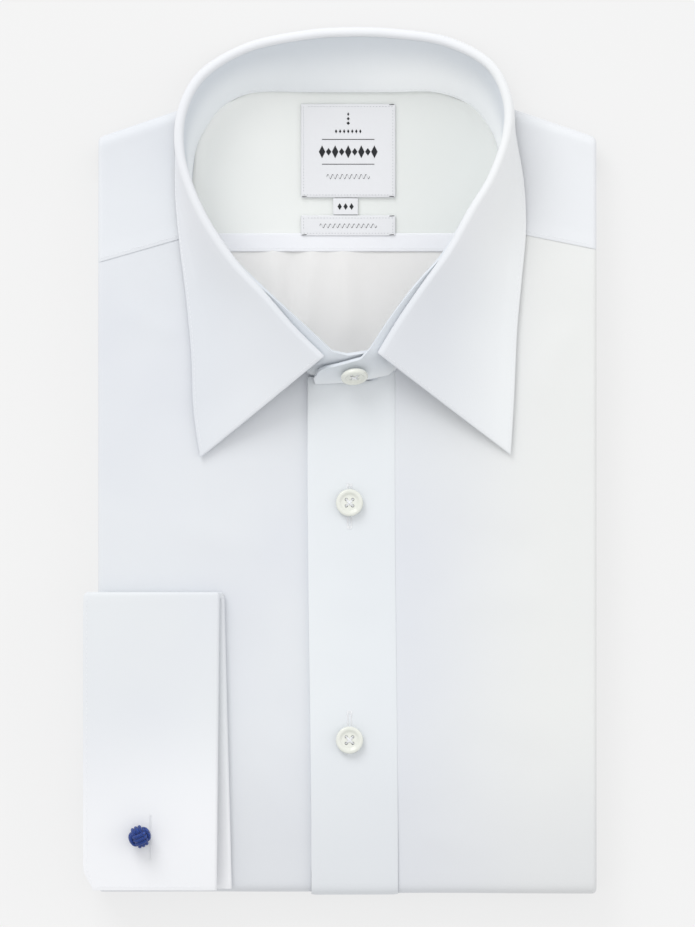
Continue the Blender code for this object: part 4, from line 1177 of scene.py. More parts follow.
@dataclass
class NeckInside:
    """What shows inside the neck: the back panel, and the inside of the yoke above its seam."""

    z: float = 10.0
    rise: float = 2.5  # towards the back neck seam
    back_low_y: float = 39.5
    yoke_high_y: float = 156.2
    margin: float = -0.4  # past the seam, under the collar
    wall: float = 0.8
    seam_strip: float = 6.8  # doubled cloth above the yoke's seam
    strip_overlap: float = 0.9  # over the back
    strip_wall: float = 0.5
    strip_rise: float = 0.62
    seam_top_y: float = 154.4

    def level(self, y: float) -> float:
        """Height of the inner cloth at y, as pressed."""
        return self.z + self.rise * smooth(105.0, 155.0, y)

    def build(self) -> None:
        """Makes both panels, the doubled strip over their seam with its stitches, and the labels."""
        back = self.panel(self.back_low_y, INNER_SEAM_Y - CLEAR / 2, self.back_relief)
        make_cloth("inside_back", back, self.wall, BACK_POPLIN, Slot.INSIDE, "back", hold=Hold.LAID)
        yoke = self.panel(INNER_SEAM_Y + CLEAR / 2, self.yoke_high_y, self.yoke_relief)
        piece = dress(cloth_shell("inside_yoke", yoke, self.wall, REVERSE_POPLIN), Slot.INSIDE, "yoke_inner")
        low_y, high_y = INNER_SEAM_Y - self.strip_overlap, INNER_SEAM_Y + self.seam_strip
        strip = self.panel(low_y, high_y, self.strip_relief)
        edge = dress(cloth_shell("inside_yoke_edge", strip, self.strip_wall, DOUBLED_POPLIN), Slot.INSIDE)
        narrow_labels = NeckLabels(self).build()
        sewing = Needlework("inside_yoke_stitches", WHITE_THREAD)
        y = INNER_SEAM_Y + 0.6
        left, right = NECK.span(y)
        sewing.seam([
            Station(Vector((x, y, self.level(y) + self.strip_relief(x, y, left, right))), UP)
            for x in steps(left + 2.0, right - 2.0, 40)
        ])
        sewing.make(Slot.INSIDE)

    def panel(self, low_y: float, high_y: float, relief: Callable[..., float]) -> ClothGrid:
        """A flat panel between two heights, as wide as the neck."""
        rows = []
        for y in steps(low_y, high_y, max(8, round((high_y - low_y) / 1.4))):
            left, right = NECK.span(min(y, self.seam_top_y))
            rows.append([
                Vector((x, y, self.level(y) + relief(x, y, left, right)))
                for x in steps(left + self.margin, right - self.margin, 60)
            ])
        return ClothGrid(rows)

    def back_relief(self, x: float, y: float, left: float, right: float) -> float:
        """Soft upright folds below the seam."""
        folds = 1.3 * hump(-27.0, 3.0, x + 0.06 * (y - 70.0)) + 1.1 * hump(-13.0, 2.6, x - 0.04 * (y - 70.0))
        folds += 1.2 * hump(3.0, 3.6, x + 0.1 * (y - 70.0)) - 0.8 * hump(-20.0, 3.0, x)
        return folds * smooth(46.0, 60.0, y) * (1 - 0.5 * smooth(80.0, INNER_SEAM_Y, y))

    def yoke_relief(self, x: float, y: float, left: float, right: float) -> float:
        """The edges drawn up to the collar."""
        to_edge = min(x - left, right - x)
        drawn_up = 1.2 * (1 - smooth(0.0, 6.0, to_edge)) * smooth(95.0, 112.0, y)
        drawn_up *= 1 - smooth(150.0, 153.0, y)
        return drawn_up + 0.25 * waver(x, y, 30.0, 12.0)

    def strip_relief(self, x: float, y: float, left: float, right: float) -> float:
        """The doubled strip over the seam."""
        return self.strip_rise + self.yoke_relief(x, y, left, right)


@dataclass
class FoldedEdges:
    """The back, the sides, the sleeves and the tail, folded away: only the layers at the edges show."""

    wall: float = 0.5
    depth: float = 25.0
    low_z: float = 4.5
    under_top: float = 4.5  # below the fronts' face
    side_inset: float = 1.2
    shoulder_inset: float = 6.8
    fold_inset: float = 0.3  # of every fold, besides its own
    base_z: float = 2.6

    # Share of the layers' height from and to, inset, and inset beside the sleeve, whose end lies there.
    LEVELS = ((0.0, 0.2, 0.0, 0.0), (0.36, 0.62, 0.8, 6.6), (0.76, 1.0, 0.3, 0.3))

    def build(self) -> None:
        """Makes each fold round the edge, the layer at the bottom and the one round the neck."""
        for number, level in enumerate(self.LEVELS):
            name, grid = f"folded_layer_{number + 1}", self.fold_grid(level, number)
            nodes = ("hidden_layers",) if number == 0 else ()
            make_cloth(name, grid, self.wall, REVERSE_POPLIN, Slot.INSIDE, *nodes)
        for name, grid in (("folded_back", self.base_grid()), ("folded_neck", self.neck_grid())):
            make_cloth(name, grid, self.wall, REVERSE_POPLIN, Slot.INSIDE)

    def outline(self) -> list[tuple[Vector, Vector]]:
        """(point, outward way) round the shirt, clockwise from the bottom right, open at the bottom fold."""
        low_y = FORM.fold_axis_y - 2.0
        points = [Vector((FORM.right_x + self.side_inset, y)) for y in steps(low_y, 112.0, 110)]
        shoulder = steps(FORM.right_x + 12.0, FORM.left_x - 12.0, 70)
        points += [Vector((x, FORM.shoulder_y(x) - self.shoulder_inset)) for x in shoulder]
        points += [Vector((FORM.left_x - self.side_inset, y)) for y in steps(112.0, low_y, 110)]
        for _ in range(4):
            points = (
                [points[0]]
                + [(a + b * 2 + c) / 4 for a, b, c in zip(points, points[1:], points[2:])]
                + [points[-1]]
            )
        return [(point, outward(points, k)) for k, point in enumerate(points)]

    def fold_grid(self, level: tuple[float, float, float, float], number: int) -> ClothGrid:
        """A sheet folded on itself along the outline."""
        low_share, high_share, inset, sleeve_inset = level
        rows = []
        for point, out in self.outline():
            beside_sleeve = 1 - smooth(-55.0, -47.0, point.y) if point.x < FORM.centre_x else 0.0
            uneven = 0.45 * waver(point.x, point.y, 30.0, 20.0 + number)
            back = mix(inset, sleeve_inset, beside_sleeve) + uneven + self.fold_inset
            edge = point - out * back
            high = FORM.front_z(point.x, point.y) - self.under_top
            low_z, high_z = mix(self.low_z, high, low_share), mix(self.low_z, high, high_share)
            radius = (high_z - low_z) / 2
            row = []
            for inward in (1.0, 0.6, 0.25):
                spot = edge - out * (radius + self.depth * inward)
                row.append(Vector((spot.x, spot.y, low_z)))
            for turn in steps(-math.pi / 2, math.pi / 2, 10):
                spot = edge - out * (radius - radius * math.cos(turn))
                row.append(Vector((spot.x, spot.y, (low_z + high_z) / 2 + radius * math.sin(turn))))
            for inward in (0.25, 0.6, 1.0):
                spot = edge - out * (radius + self.depth * inward)
                row.append(Vector((spot.x, spot.y, high_z)))
            rows.append(row)
        return ClothGrid(rows)

    def base_grid(self) -> ClothGrid:
        """The back under the shoulders, over the end of the tail."""
        rows = []
        for share in steps(0.0, 1.0, 30):
            row = []
            for x in steps(FORM.right_x + 5.0, FORM.left_x - 5.0, 80):
                y = mix(84.0, FORM.shoulder_y(x) - 4.0, share)
                row.append(Vector((x, y, self.base_z - 0.2 + 0.15 * waver(x, y, 30.0, 31.0))))
            rows.append(row)
        return ClothGrid(rows)

    def neck_grid(self) -> ClothGrid:
        """The layers' edge round the neck opening."""
        outline = [Vector((-4.0, 34.0))] + [Vector(point) for point in NECK.seam] + [Vector((12.0, 34.0))]
        rows = []
        for k, point in enumerate(outline):
            out = outward(outline, k)
            top = FORM.front_z(point.x, point.y) - 1.6
            row = []
            for share in steps(0.0, 1.0, 8):
                spot = point + out * (0.6 + 2.4 * share * share)
                row.append(Vector((spot.x, spot.y, mix(8.9, top, share))))
            for reach in (5.0, 8.0, 12.0):
                spot = point + out * reach
                row.append(Vector((spot.x, spot.y, top)))
            rows.append(row[::-1])
        return ClothGrid(rows)


# ---------------------------------------------------------------- collar


class BandRow(NamedTuple):
    """One section through an end of the neckband, past the leaf."""

    seam_x: float
    seam_y: float
    step: float  # of the seam above the right front
    top_x: float
    top_y: float
    top_z: float


# The right end goes behind the left one, which carries the collar button.
BAND_RIGHT_END = (
    BandRow(12.0, 36.0, 0.3, 12.5, 46.6, 33.0),
    BandRow(0.0, 35.6, 0.3, 3.0, 45.2, 34.4),
)
BAND_LEFT_END = (
    BandRow(7.0, 34.4, 2.6, 8.8, 43.7, 34.8),
    BandRow(-1.0, 33.9, 2.6, -0.4, 41.2, 33.4),
    BandRow(-8.6, 33.6, 2.6, -8.2, 39.2, 31.4),
    BandRow(-10.6, 33.6, 2.6, -10.6, 36.4, 27.4),
)


@dataclass
class Collar:
    """The neckband, buttoned at the centre front, and the pointed leaf turned down over it."""

    band_wall: float = 1.4
    leaf_wall: float = 1.3
    roll_radius: float = 2.0
    roll_start: float = 0.8  # leaf below the roll on the inner side
    bow: float = 0.8
    lip_knee: float = 0.86  # share of the band's height where its top starts to lean in
    lip_rise: float = 0.45  # for each millimetre that the lip leans in
    lip_drop: float = 1.7  # room for its wall under the leaf, at the full lip
    full_lip: float = 4.0
    sections: int = 6  # from row to row of the table
    neck_middle_y: float = 105.0  # that the band bows away from
    stitch_inset: float = 1.5
    band_stitch_inset: float = 1.2

    def build(self) -> None:
        """Makes the band, the leaf and their edge stitches."""
        band, leaf = self.band_grid(), self.leaf_grid()
        make_cloth("collar_band", band, self.band_wall, BAND_POPLIN, Slot.FUSED, "neckband")
        make_cloth("leaf", leaf, self.leaf_wall, LEAF_POPLIN, Slot.FUSED, "collar_leaf")
        sewing = Needlework("collar_stitches", WHITE_THREAD)
        for border in (Border.LAST_COLUMN, Border.FIRST_ROW, Border.LAST_ROW):
            stations = leaf.inset(border, self.stitch_inset)
            trim = 1 if border is Border.LAST_COLUMN else 3
            sewing.seam(stations[trim:-trim])
        sewing.seam(band.inset(Border.FIRST_COLUMN, self.band_stitch_inset))
        sewing.make(Slot.FUSED)

    def edge_height(self, row: CollarRow) -> float:
        """Height of the leaf's free edge, on the cloth in front and hanging behind."""
        on_cloth = FORM.top_z(row.edge_x, row.edge_y) + row.edge_z
        return mix(on_cloth, row.edge_z, min(max(row.hangs, 0.0), 1.0))

    def leaf_section(self, row: CollarRow) -> list[Vector]:
        """The leaf's outer face: up the inner side, over the roll and out to the free edge."""
        fold = Vector((row.fold_x, row.fold_y, row.fold_z))
        edge = Vector((row.edge_x, row.edge_y, self.edge_height(row)))
        out = Vector((edge.x - fold.x, edge.y - fold.y, 0)).normalized()
        axis = fold + out * self.roll_radius - UP * self.roll_radius
        run = (Vector((edge.x, edge.y, 0)) - Vector((axis.x, axis.y, 0))).dot(out)
        fall = math.atan2(axis.z - edge.z + self.roll_radius, max(run, 0.01))
        if run < 3.0:  # behind the neck the leaf hangs almost straight down
            fall = math.radians(88)
        lying = smooth(8.0, 30.0, run)
        first_fall, last_fall = fall * mix(1.0, 1.2, lying), fall * mix(1.0, 0.35, lying)
        points = [axis - out * self.roll_radius - UP * self.roll_start]
        for turn in steps(math.pi, math.pi / 2 - first_fall, 14):
            points.append(axis + (out * math.cos(turn) + UP * math.sin(turn)) * self.roll_radius)
        start_way = out * math.cos(first_fall) - UP * math.sin(first_fall)
        end_way = out * math.cos(last_fall) - UP * math.sin(last_fall)
        return points + bezier(points[-1], start_way, edge, end_way, 30)[1:]

    def leaf_grid(self) -> ClothGrid:
        """The leaf, with the ridge of its seam allowance, the dent of its stitches and slight waves."""
        rows = [self.leaf_section(row) for row in through(COLLAR, self.sections)][::-1]
        grid = ClothGrid(rows)
        front_ways = [ways_of(column) for column in zip(*rows)]

        def relief(j: int, i: int, point: Vector) -> float:
            line = rows[j]
            to_edge = (line[-1] - point).length
            to_front = min(front_ways[i][j], front_ways[i][-1] - front_ways[i][j])
            near = min(to_edge, to_front)
            allowance = 0.14 * (1 - smooth(5.0, 7.0, near))
            dent = -0.16 * hump(self.stitch_inset, 0.7, near)
            wave = 0.35 * waver(point.x, point.y, 34.0, 40.0) * smooth(4.0, 16.0, to_edge)
            return (allowance + dent + wave) * smooth(10.0, 20.0, i)

        return grid.moved(relief)

    def band_section(self, seam: Vector, leaf_seam: Vector, lip: Vector) -> list[Vector]:
        """The band's inner face from its seam up to the leaf, bowed a little outwards, and over its lip."""
        out = Vector((seam.x - FORM.centre_x, seam.y - self.neck_middle_y, 0)).normalized()
        knee = seam.lerp(leaf_seam, self.lip_knee)
        points = [
            seam.lerp(knee, share) + out * self.bow * math.sin(math.pi * share)
            for share in steps(0.0, 1.0, 12)
        ]
        top = leaf_seam + lip
        return points + bezier(knee, (knee - seam).normalized(), top, (top - knee).normalized(), 6)[1:]

    def end_section(self, row: BandRow) -> list[Vector]:
        """A section through one end of the band."""
        seam = Vector((row.seam_x, row.seam_y, FORM.front_z(row.seam_x, row.seam_y) + row.step))
        return self.band_section(seam, Vector((row.top_x, row.top_y, row.top_z)), Vector((0, 0, 0)))

    def lap_out(self, x: float, y: float) -> float:
        """How far the left front or its placket stands above the right front's face at the neckline."""
        if x < FORM.centre_x or y > NECK_WIDEST_Y:
            return 0.0
        return max(FORM.left_out(x, -y), FORM.placket_step * (1 - smooth(23.5, 31.0, x)))

    def band_grid(self) -> ClothGrid:
        """The whole band, from its right end round the neck to the left end that laps over it."""
        found = [self.end_section(row) for row in through(BAND_RIGHT_END, 5)]
        for row in through(COLLAR, self.sections):
            x, y = row.seam_x, row.seam_y
            seam = Vector((x, y, FORM.top_z(x, y) + self.lap_out(x, y) + CLEAR))
            top = Vector((row.fold_x, row.fold_y, row.fold_z - self.roll_radius - self.roll_start - CLEAR))
            leaf_way = Vector((row.edge_x - row.fold_x, row.edge_y - row.fold_y, 0)).normalized()
            lean = self.band_wall * (top - seam).normalized().dot(leaf_way)
            seam.z += max(lean, 0.0)
            top.z += min(lean, 0.0)
            reach = max(row.lip, 0.0)
            rise = self.lip_rise * reach - self.lip_drop * reach / self.full_lip
            found.append(self.band_section(seam, top, UP * rise - leaf_way * reach))
        found += [self.end_section(row) for row in through(BAND_LEFT_END, 5)]
        return ClothGrid(found[::-1])


# ---------------------------------------------------------------- cuff and sleeve


@dataclass
class DoubleCuff:
    """The right double cuff and its sleeve's end, brought round the side edge onto the right front."""

    wall: float = 1.3
    top_y: float = -55.0
    bottom_y: float = -180.2
    reach_x: float = -107.8
    under_x: float = -103.8
    sleeve_wall: float = 2.4
    sleeve_low_z: float = 6.5
    sleeve_radius: float = 3.6
    sleeve_upper_x: float = -97.7  # its inner edge, between the cuff's halves
    sleeve_lower_x: float = -96.4  # and between the shirt's layers
    pressed: float = 2.3  # how much closer the halves lie at the wrist than round the sleeve
    fold_depth: float = 5.0  # from the top edge to where the flat halves turn into the fold
    fold_way: float = 0.46  # share of the way round where the under half ends
    fold_taper: float = 1.7
    fold_squareness: float = 0.36  # 1 is round, less is pressed flatter
    link_y: float = -157.9
    slit_x: float = -79.6
    slit_length: float = 19.0
    slit_width: float = 0.1  # between its two rows of stitches
    slit_bar: float = 0.55  # width of the stitches beside it
    stitch_inset: float = 1.5

    @property
    def doubled(self) -> float:
        """Both layers of one half."""
        return 2 * self.wall + CLEAR

    @property
    def inner_z(self) -> float:
        """The under half's upper face."""
        return FORM.height + CLEAR + self.doubled

    @property
    def sleeve_gap(self) -> float:
        """Room for the sleeve between the halves."""
        return self.sleeve_wall + 2 * CLEAR

    @property
    def fold_y(self) -> float:
        """Where the flat halves turn into the top fold."""
        return self.top_y - self.fold_depth

    def wrist_x(self, share: float) -> float:
        """The folded wrist edge, from the under half's free end (0) round the top to the upper half's (1)."""
        if share < 0.5:
            return mix(-45.4, -48.7, share * 2)
        return mix(-50.4, -51.7, share * 2 - 1)

    def far_x(self, y: float, upper: bool) -> float:
        """The cuff's other edge, rounded at its corners."""
        reach = self.reach_x if upper else self.under_x
        top_round = 3.0 * (1 - smooth(0.0, 7.0, self.top_y - y)) ** 2
        bottom_round = 4.0 * (1 - smooth(0.0, 12.0, y - self.bottom_y)) ** 2
        return reach + top_round + bottom_round

    def gap(self, x: float, y: float) -> float:
        """The space between the halves, widest beside the link."""
        to_wrist = smooth(-100.0, -60.0, x)
        by_link = 3.6 * hump(self.link_y, 26.0, y)
        return self.sleeve_gap + to_wrist * (by_link - self.pressed)

    def top_z(self, x: float, y: float) -> float:
        """Height of the cuff's outer face."""
        return self.inner_z + self.gap(x, y) + self.doubled

    def profile(self) -> list[tuple[float, float, float]]:
        """(share across, out, shift) round the doubled cloth: outer layer, wrist fold, inner layer."""
        radius = self.doubled / 2
        shares = steps(1.0, 0.06, 26)
        outer = [(share, self.doubled, 0.0) for share in shares]
        wrist = [
            (0.0, radius + radius * math.sin(turn), radius * (math.cos(turn) - 1))
            for turn in steps(math.pi / 2, -math.pi / 2, 10)
        ]
        return outer + wrist + [(share, 0.0, 0.0) for share in shares[::-1]]

    def on_half(self, spot: tuple[float, float, float], y: float, upper: bool) -> Vector:
        """A point of the profile on the upper or the under half."""
        share, out, shift = spot
        way = self.fold_way * (y - self.bottom_y) / (self.fold_y - self.bottom_y)
        x = mix(self.wrist_x(1 - way if upper else way) + shift, self.far_x(y, upper), share)
        z = self.inner_z + self.gap(x, y) + out if upper else self.inner_z - out
        return Vector((x, y, z))

    def on_fold(self, spot: tuple[float, float, float], turn: float) -> Vector:
        """A point of the profile on the fold that joins the halves. turn runs from -90 to 90 degrees."""
        share, out, shift = spot
        upper_share = turn / math.pi + 0.5
        under_far, upper_far = self.far_x(self.fold_y, False), self.far_x(self.fold_y, True)
        far = mix(under_far, upper_far, smooth(0.0, 0.5, upper_share))
        wrist = self.wrist_x(mix(self.fold_way, 1 - self.fold_way, upper_share)) + shift
        x = mix(wrist, far + self.fold_taper * math.cos(turn) ** 2, share)
        radius = self.gap(x, self.fold_y) / 2
        axis_y = self.top_y - radius - self.doubled
        reach = radius + out
        along = max(math.cos(turn), 0.0) ** self.fold_squareness
        high = math.copysign(abs(math.sin(turn)) ** self.fold_squareness, turn)
        return Vector((x, axis_y + reach * along, self.inner_z + radius + reach * high))

    def grid(self) -> ClothGrid:
        """Under half, top fold and upper half, one doubled cloth."""
        profile = self.profile()
        under_ys = steps(self.bottom_y + 0.6, self.fold_y, 34)[:-1]
        turns = steps(-math.pi / 2, math.pi / 2, 18)
        upper_ys = steps(self.fold_y, self.bottom_y, 60)[1:]
        rows = [[self.on_half(spot, y, False) for spot in profile] for y in under_ys]
        rows += [[self.on_fold(spot, turn) for spot in profile] for turn in turns]
        rows += [[self.on_half(spot, y, True) for spot in profile] for y in upper_ys]
        return ClothGrid(rows[::-1])

    def build(self) -> None:
        """Makes the cuff with its edge stitches and closed buttonhole, and the sleeve's end."""
        grid = self.grid()
        look = self.wall, CUFF_POPLIN, Slot.FUSED
        make_cloth("double_cuff", grid, *look, "cuff_right", rests_on=["right_front"])
        sewing = Needlework("cuff_stitches", WHITE_THREAD)
        far = grid.inset(Border.FIRST_COLUMN, self.stitch_inset)
        sewing.seam([station for station in far if station.point.z > self.inner_z + self.sleeve_gap][2:])
        bottom = grid.inset(Border.FIRST_ROW, self.stitch_inset)
        sewing.seam(bottom[1:26])  # only along the outer layer
        self.sew_buttonhole(sewing)
        sewing.make(Slot.FUSED)
        self.build_sleeve()

    def sew_buttonhole(self, sewing: Needlework) -> None:
        """Sews the closed buttonhole, two rows of satin stitches side by side on whole cloth."""
        for side in (-1, 1):
            for y in steps(self.link_y - self.slit_length / 2, self.link_y + self.slit_length / 2, 60):
                open_share = math.sqrt(max(1 - ((y - self.link_y) / (self.slit_length / 2)) ** 2, 0.0))
                inner = self.slit_x + side * self.slit_width / 2 * open_share
                outer = inner + side * self.slit_bar
                ends = [Vector((x, y, self.top_z(x, y) + 0.02)) for x in (inner, outer)]
                sewing.stitch(ends[0], ends[1], UP)

    def build_sleeve(self) -> None:
        """Makes the sleeve's end, round the side edge from between the layers to inside the cuff."""
        top_z, low_z = self.inner_z + CLEAR + self.sleeve_wall, self.sleeve_low_z
        radius = self.sleeve_radius
        corner = self.under_x - 3 * CLEAR - self.sleeve_wall + radius
        profile = [(x, top_z) for x in steps(self.sleeve_upper_x, corner, 4)]
        for face_z, way, turns in ((top_z, -radius, (0.0, 90.0)), (low_z, radius, (90.0, 0.0))):
            for turn in steps(math.radians(turns[0]), math.radians(turns[1]), 10):
                profile.append((corner - radius * math.sin(turn), face_z + way * (1 - math.cos(turn))))
        profile += [(self.sleeve_lower_x, low_z)]
        rows = []
        # The rows lie closer at both ends.
        for y in [-61.5, -62.2, -63.0] + steps(-65.0, -171.0, 50) + [-172.0, -172.8, -173.5]:
            rows.append([Vector((x + 0.25 * waver(y, z, 16.0, 60.0), y, z)) for x, z in profile])
        make_cloth("sleeve_end", ClothGrid(rows), self.sleeve_wall, POPLIN, Slot.POPLIN, "sleeve_right")


# ---------------------------------------------------------------- labels


class LabelPlace(NamedTuple):
    """A flat label on the yoke inside the neck."""

    name: str
    node: str
    low_x: float
    high_x: float
    low_y: float
    high_y: float


@dataclass
class NeckLabels:
    """Three woven labels in the neck. Their figures are plain: bars, lozenges and running waves."""

    inside: NeckInside
    wall: float = 0.8
    gap: float = 0.35
    figure_rise: float = 0.08
    stitch_inset: float = 1.1
    middle_x: float = 3.45  # of the two wide labels

    PLACES = (
        LabelPlace("neck_label", "label_main", -16.4, 23.3, 110.8, 150.1),
        LabelPlace("size_tab", "label_size", -2.9, 7.6, 103.6, 110.5),
        LabelPlace("lower_label", "label_lower", -16.4, 23.3, 94.7, 103.3),
    )

    def face_z(self, x: float, y: float) -> float:
        """Height of the labels' faces."""
        left, right = NECK.span(y)
        return self.inside.level(y) + self.inside.yoke_relief(x, y, left, right) + self.gap + self.wall

    def build(self) -> list[bpy.types.Object]:
        """Makes the labels, what is woven in them and the stitches that hold them.

        Returns:
            The narrow labels: the size tab and the lower label.
        """
        sewing = Needlework("label_stitches", GREY_THREAD, 0.11)
        tacks = Needlework("label_tacks", DARK_THREAD, 0.16)
        grids = [self.grid(place) for place in self.PLACES]
        main, tab, lower = (
            dress(cloth_shell(place.name, grid, self.wall, LABEL_SATIN), Slot.LABEL, place.node)
            for place, grid in zip(self.PLACES, grids)
        )
        for place in (self.PLACES[0], self.PLACES[2]):
            self.sew(sewing, tacks, place)
        sewing.make(Slot.LABEL)
        tacks.make(Slot.LABEL)
        self.weave_figures()
        return [tab, lower]

    def grid(self, place: LabelPlace) -> ClothGrid:
        """One label's face, lying on the yoke."""
        return ClothGrid([
            [Vector((x, y, self.face_z(x, y))) for x in steps(place.low_x, place.high_x, 24)]
            for y in steps(place.low_y, place.high_y, 24)
        ])

    def spot(self, x: float, y: float) -> Vector:
        """A point just on the labels' faces."""
        return Vector((x, y, self.face_z(x, y) + 0.01))

    def sew(self, sewing: Needlework, tacks: Needlework, place: LabelPlace) -> None:
        """Sews round one label, and tacks it at its lower corners and one upper one."""
        low_x, high_x = place.low_x + self.stitch_inset, place.high_x - self.stitch_inset
        low_y, high_y = place.low_y + self.stitch_inset, place.high_y - self.stitch_inset
        corners = ((low_x, low_y), (high_x, low_y), (high_x, high_y), (low_x, high_y), (low_x, low_y))
        for (x0, y0), (x1, y1) in zip(corners, corners[1:]):
            line = [Station(self.spot(mix(x0, x1, t), mix(y0, y1, t)), UP) for t in steps(0.0, 1.0, 20)]
            sewing.seam(line, 1.3, 0.45)
        for x, y, reach in (
            (place.low_x + 0.3, place.low_y + 0.35, 2.2),
            (place.high_x - 2.8, place.low_y + 0.35, 2.4),
            (place.high_x - 2.8, place.high_y - 0.3, 2.5),
        ):
            tacks.stitch(self.spot(x, y), self.spot(x + reach, y + 0.15), UP)

    def plate(self, bm: bmesh.types.BMesh, outline: Sequence[tuple[float, float]]) -> None:
        """Adds one flat figure of close weave on an outline, counterclockwise from above."""
        low = [bm.verts.new((self.spot(x, y) - UP * 0.03) * METRES) for x, y in outline]
        high = [bm.verts.new((self.spot(x, y) + UP * self.figure_rise) * METRES) for x, y in outline]
        bm.faces.new(high)
        bm.faces.new(low[::-1])
        for k in range(len(outline)):
            after = (k + 1) % len(outline)
            bm.faces.new((low[k], low[after], high[after], high[k]))

    def lozenge(self, bm: bmesh.types.BMesh, x: float, y: float, wide: float, high: float) -> None:
        """Adds a lozenge about its middle."""
        self.plate(bm, ((x - wide / 2, y), (x, y - high / 2), (x + wide / 2, y), (x, y + high / 2)))

    def bar(self, bm: bmesh.types.BMesh, x0: float, x1: float, y: float, high: float) -> None:
        """Adds a bar across."""
        self.plate(bm, ((x0, y - high / 2), (x1, y - high / 2), (x1, y + high / 2), (x0, y + high / 2)))

    def wave(self, bm: bmesh.types.BMesh, x0: float, x1: float, y: float, swing: float, turns: int) -> None:
        """Adds a running wave, thicker on its rises."""
        points = []
        for t in steps(0.0, 1.0, turns * 14):
            turn = math.tau * turns * t
            points.append((mix(x0, x1, t), y + swing * math.sin(turn), 0.13 + 0.1 * math.cos(turn)))
        for (xa, ya, wa), (xb, yb, wb) in zip(points, points[1:]):
            self.plate(bm, ((xa, ya - wa), (xb, yb - wb), (xb, yb + wb), (xa, ya + wa)))

    def weave_figures(self) -> None:
        """Makes all the figures as one piece."""
        bm = bmesh.new()
        middle = self.middle_x
        for k in range(-4, 5):
            self.lozenge(bm, middle + k * 2.75, 130.0, 2.3 if k % 2 else 2.7, 3.2 if k % 2 else 5.4)
        for y in (135.2, 124.8):
            self.bar(bm, middle - 11.0, middle + 11.0, y, 0.3)
        for k in range(-3, 4):
            self.lozenge(bm, middle + k * 1.7, 138.6, 1.0, 1.7)
        for rise in range(3):
            self.lozenge(bm, middle, 142.0 + rise * 1.9, 1.5 - 0.3 * rise, 1.5)
        self.wave(bm, middle - 9.0, middle + 9.0, 119.6, 0.9, 9)
        for k in (-1, 0, 1):
            self.lozenge(bm, middle - 1.1 + k * 2.5, 107.0, 1.8, 2.8)
        self.wave(bm, middle - 12.0, middle + 12.0, 98.9, 0.8, 12)
        dress(add_mesh("label_figures", bm, DARK_THREAD, 30.0), Slot.LABEL)


# ---------------------------------------------------------------- silk knot


def tube(
    bm: bmesh.types.BMesh,
    points: Sequence[Vector],
    away: Sequence[Vector],
    radius: float,
    closed: bool,
    sides: int = 10,
) -> None:
    """Adds a round strand.

    Args:
        bm: The mesh that it is added to.
        points: Its middle line, in millimetres.
        away: For each point, a way that isn't along the line, which steadies the strand's turn.
        radius: Its radius.
        closed: Whether its end meets its start.
        sides: How many sides it has.
    """
    rings = []
    for k, point in enumerate(points):
        before = points[k - 1] if closed or k else points[k]
        after = points[(k + 1) % len(points)] if closed or k + 1 < len(points) else points[k]
        along = (after - before).normalized()
        side = along.cross(away[k]).normalized()
        up = side.cross(along)
        ring = []
        for n in range(sides):
            turn = math.tau * n / sides
            way = side * math.cos(turn) + up * math.sin(turn)
            ring.append(bm.verts.new((point + way * radius) * METRES))
        rings.append(ring)
    if closed:
        rings.append(rings[0])
    for low, high in zip(rings, rings[1:]):
        for n in range(sides):
            after = (n + 1) % sides
            bm.faces.new((low[n], low[after], high[after], high[n]))
    if not closed:
        bm.faces.new(rings[0][::-1])
        bm.faces.new(rings[-1])


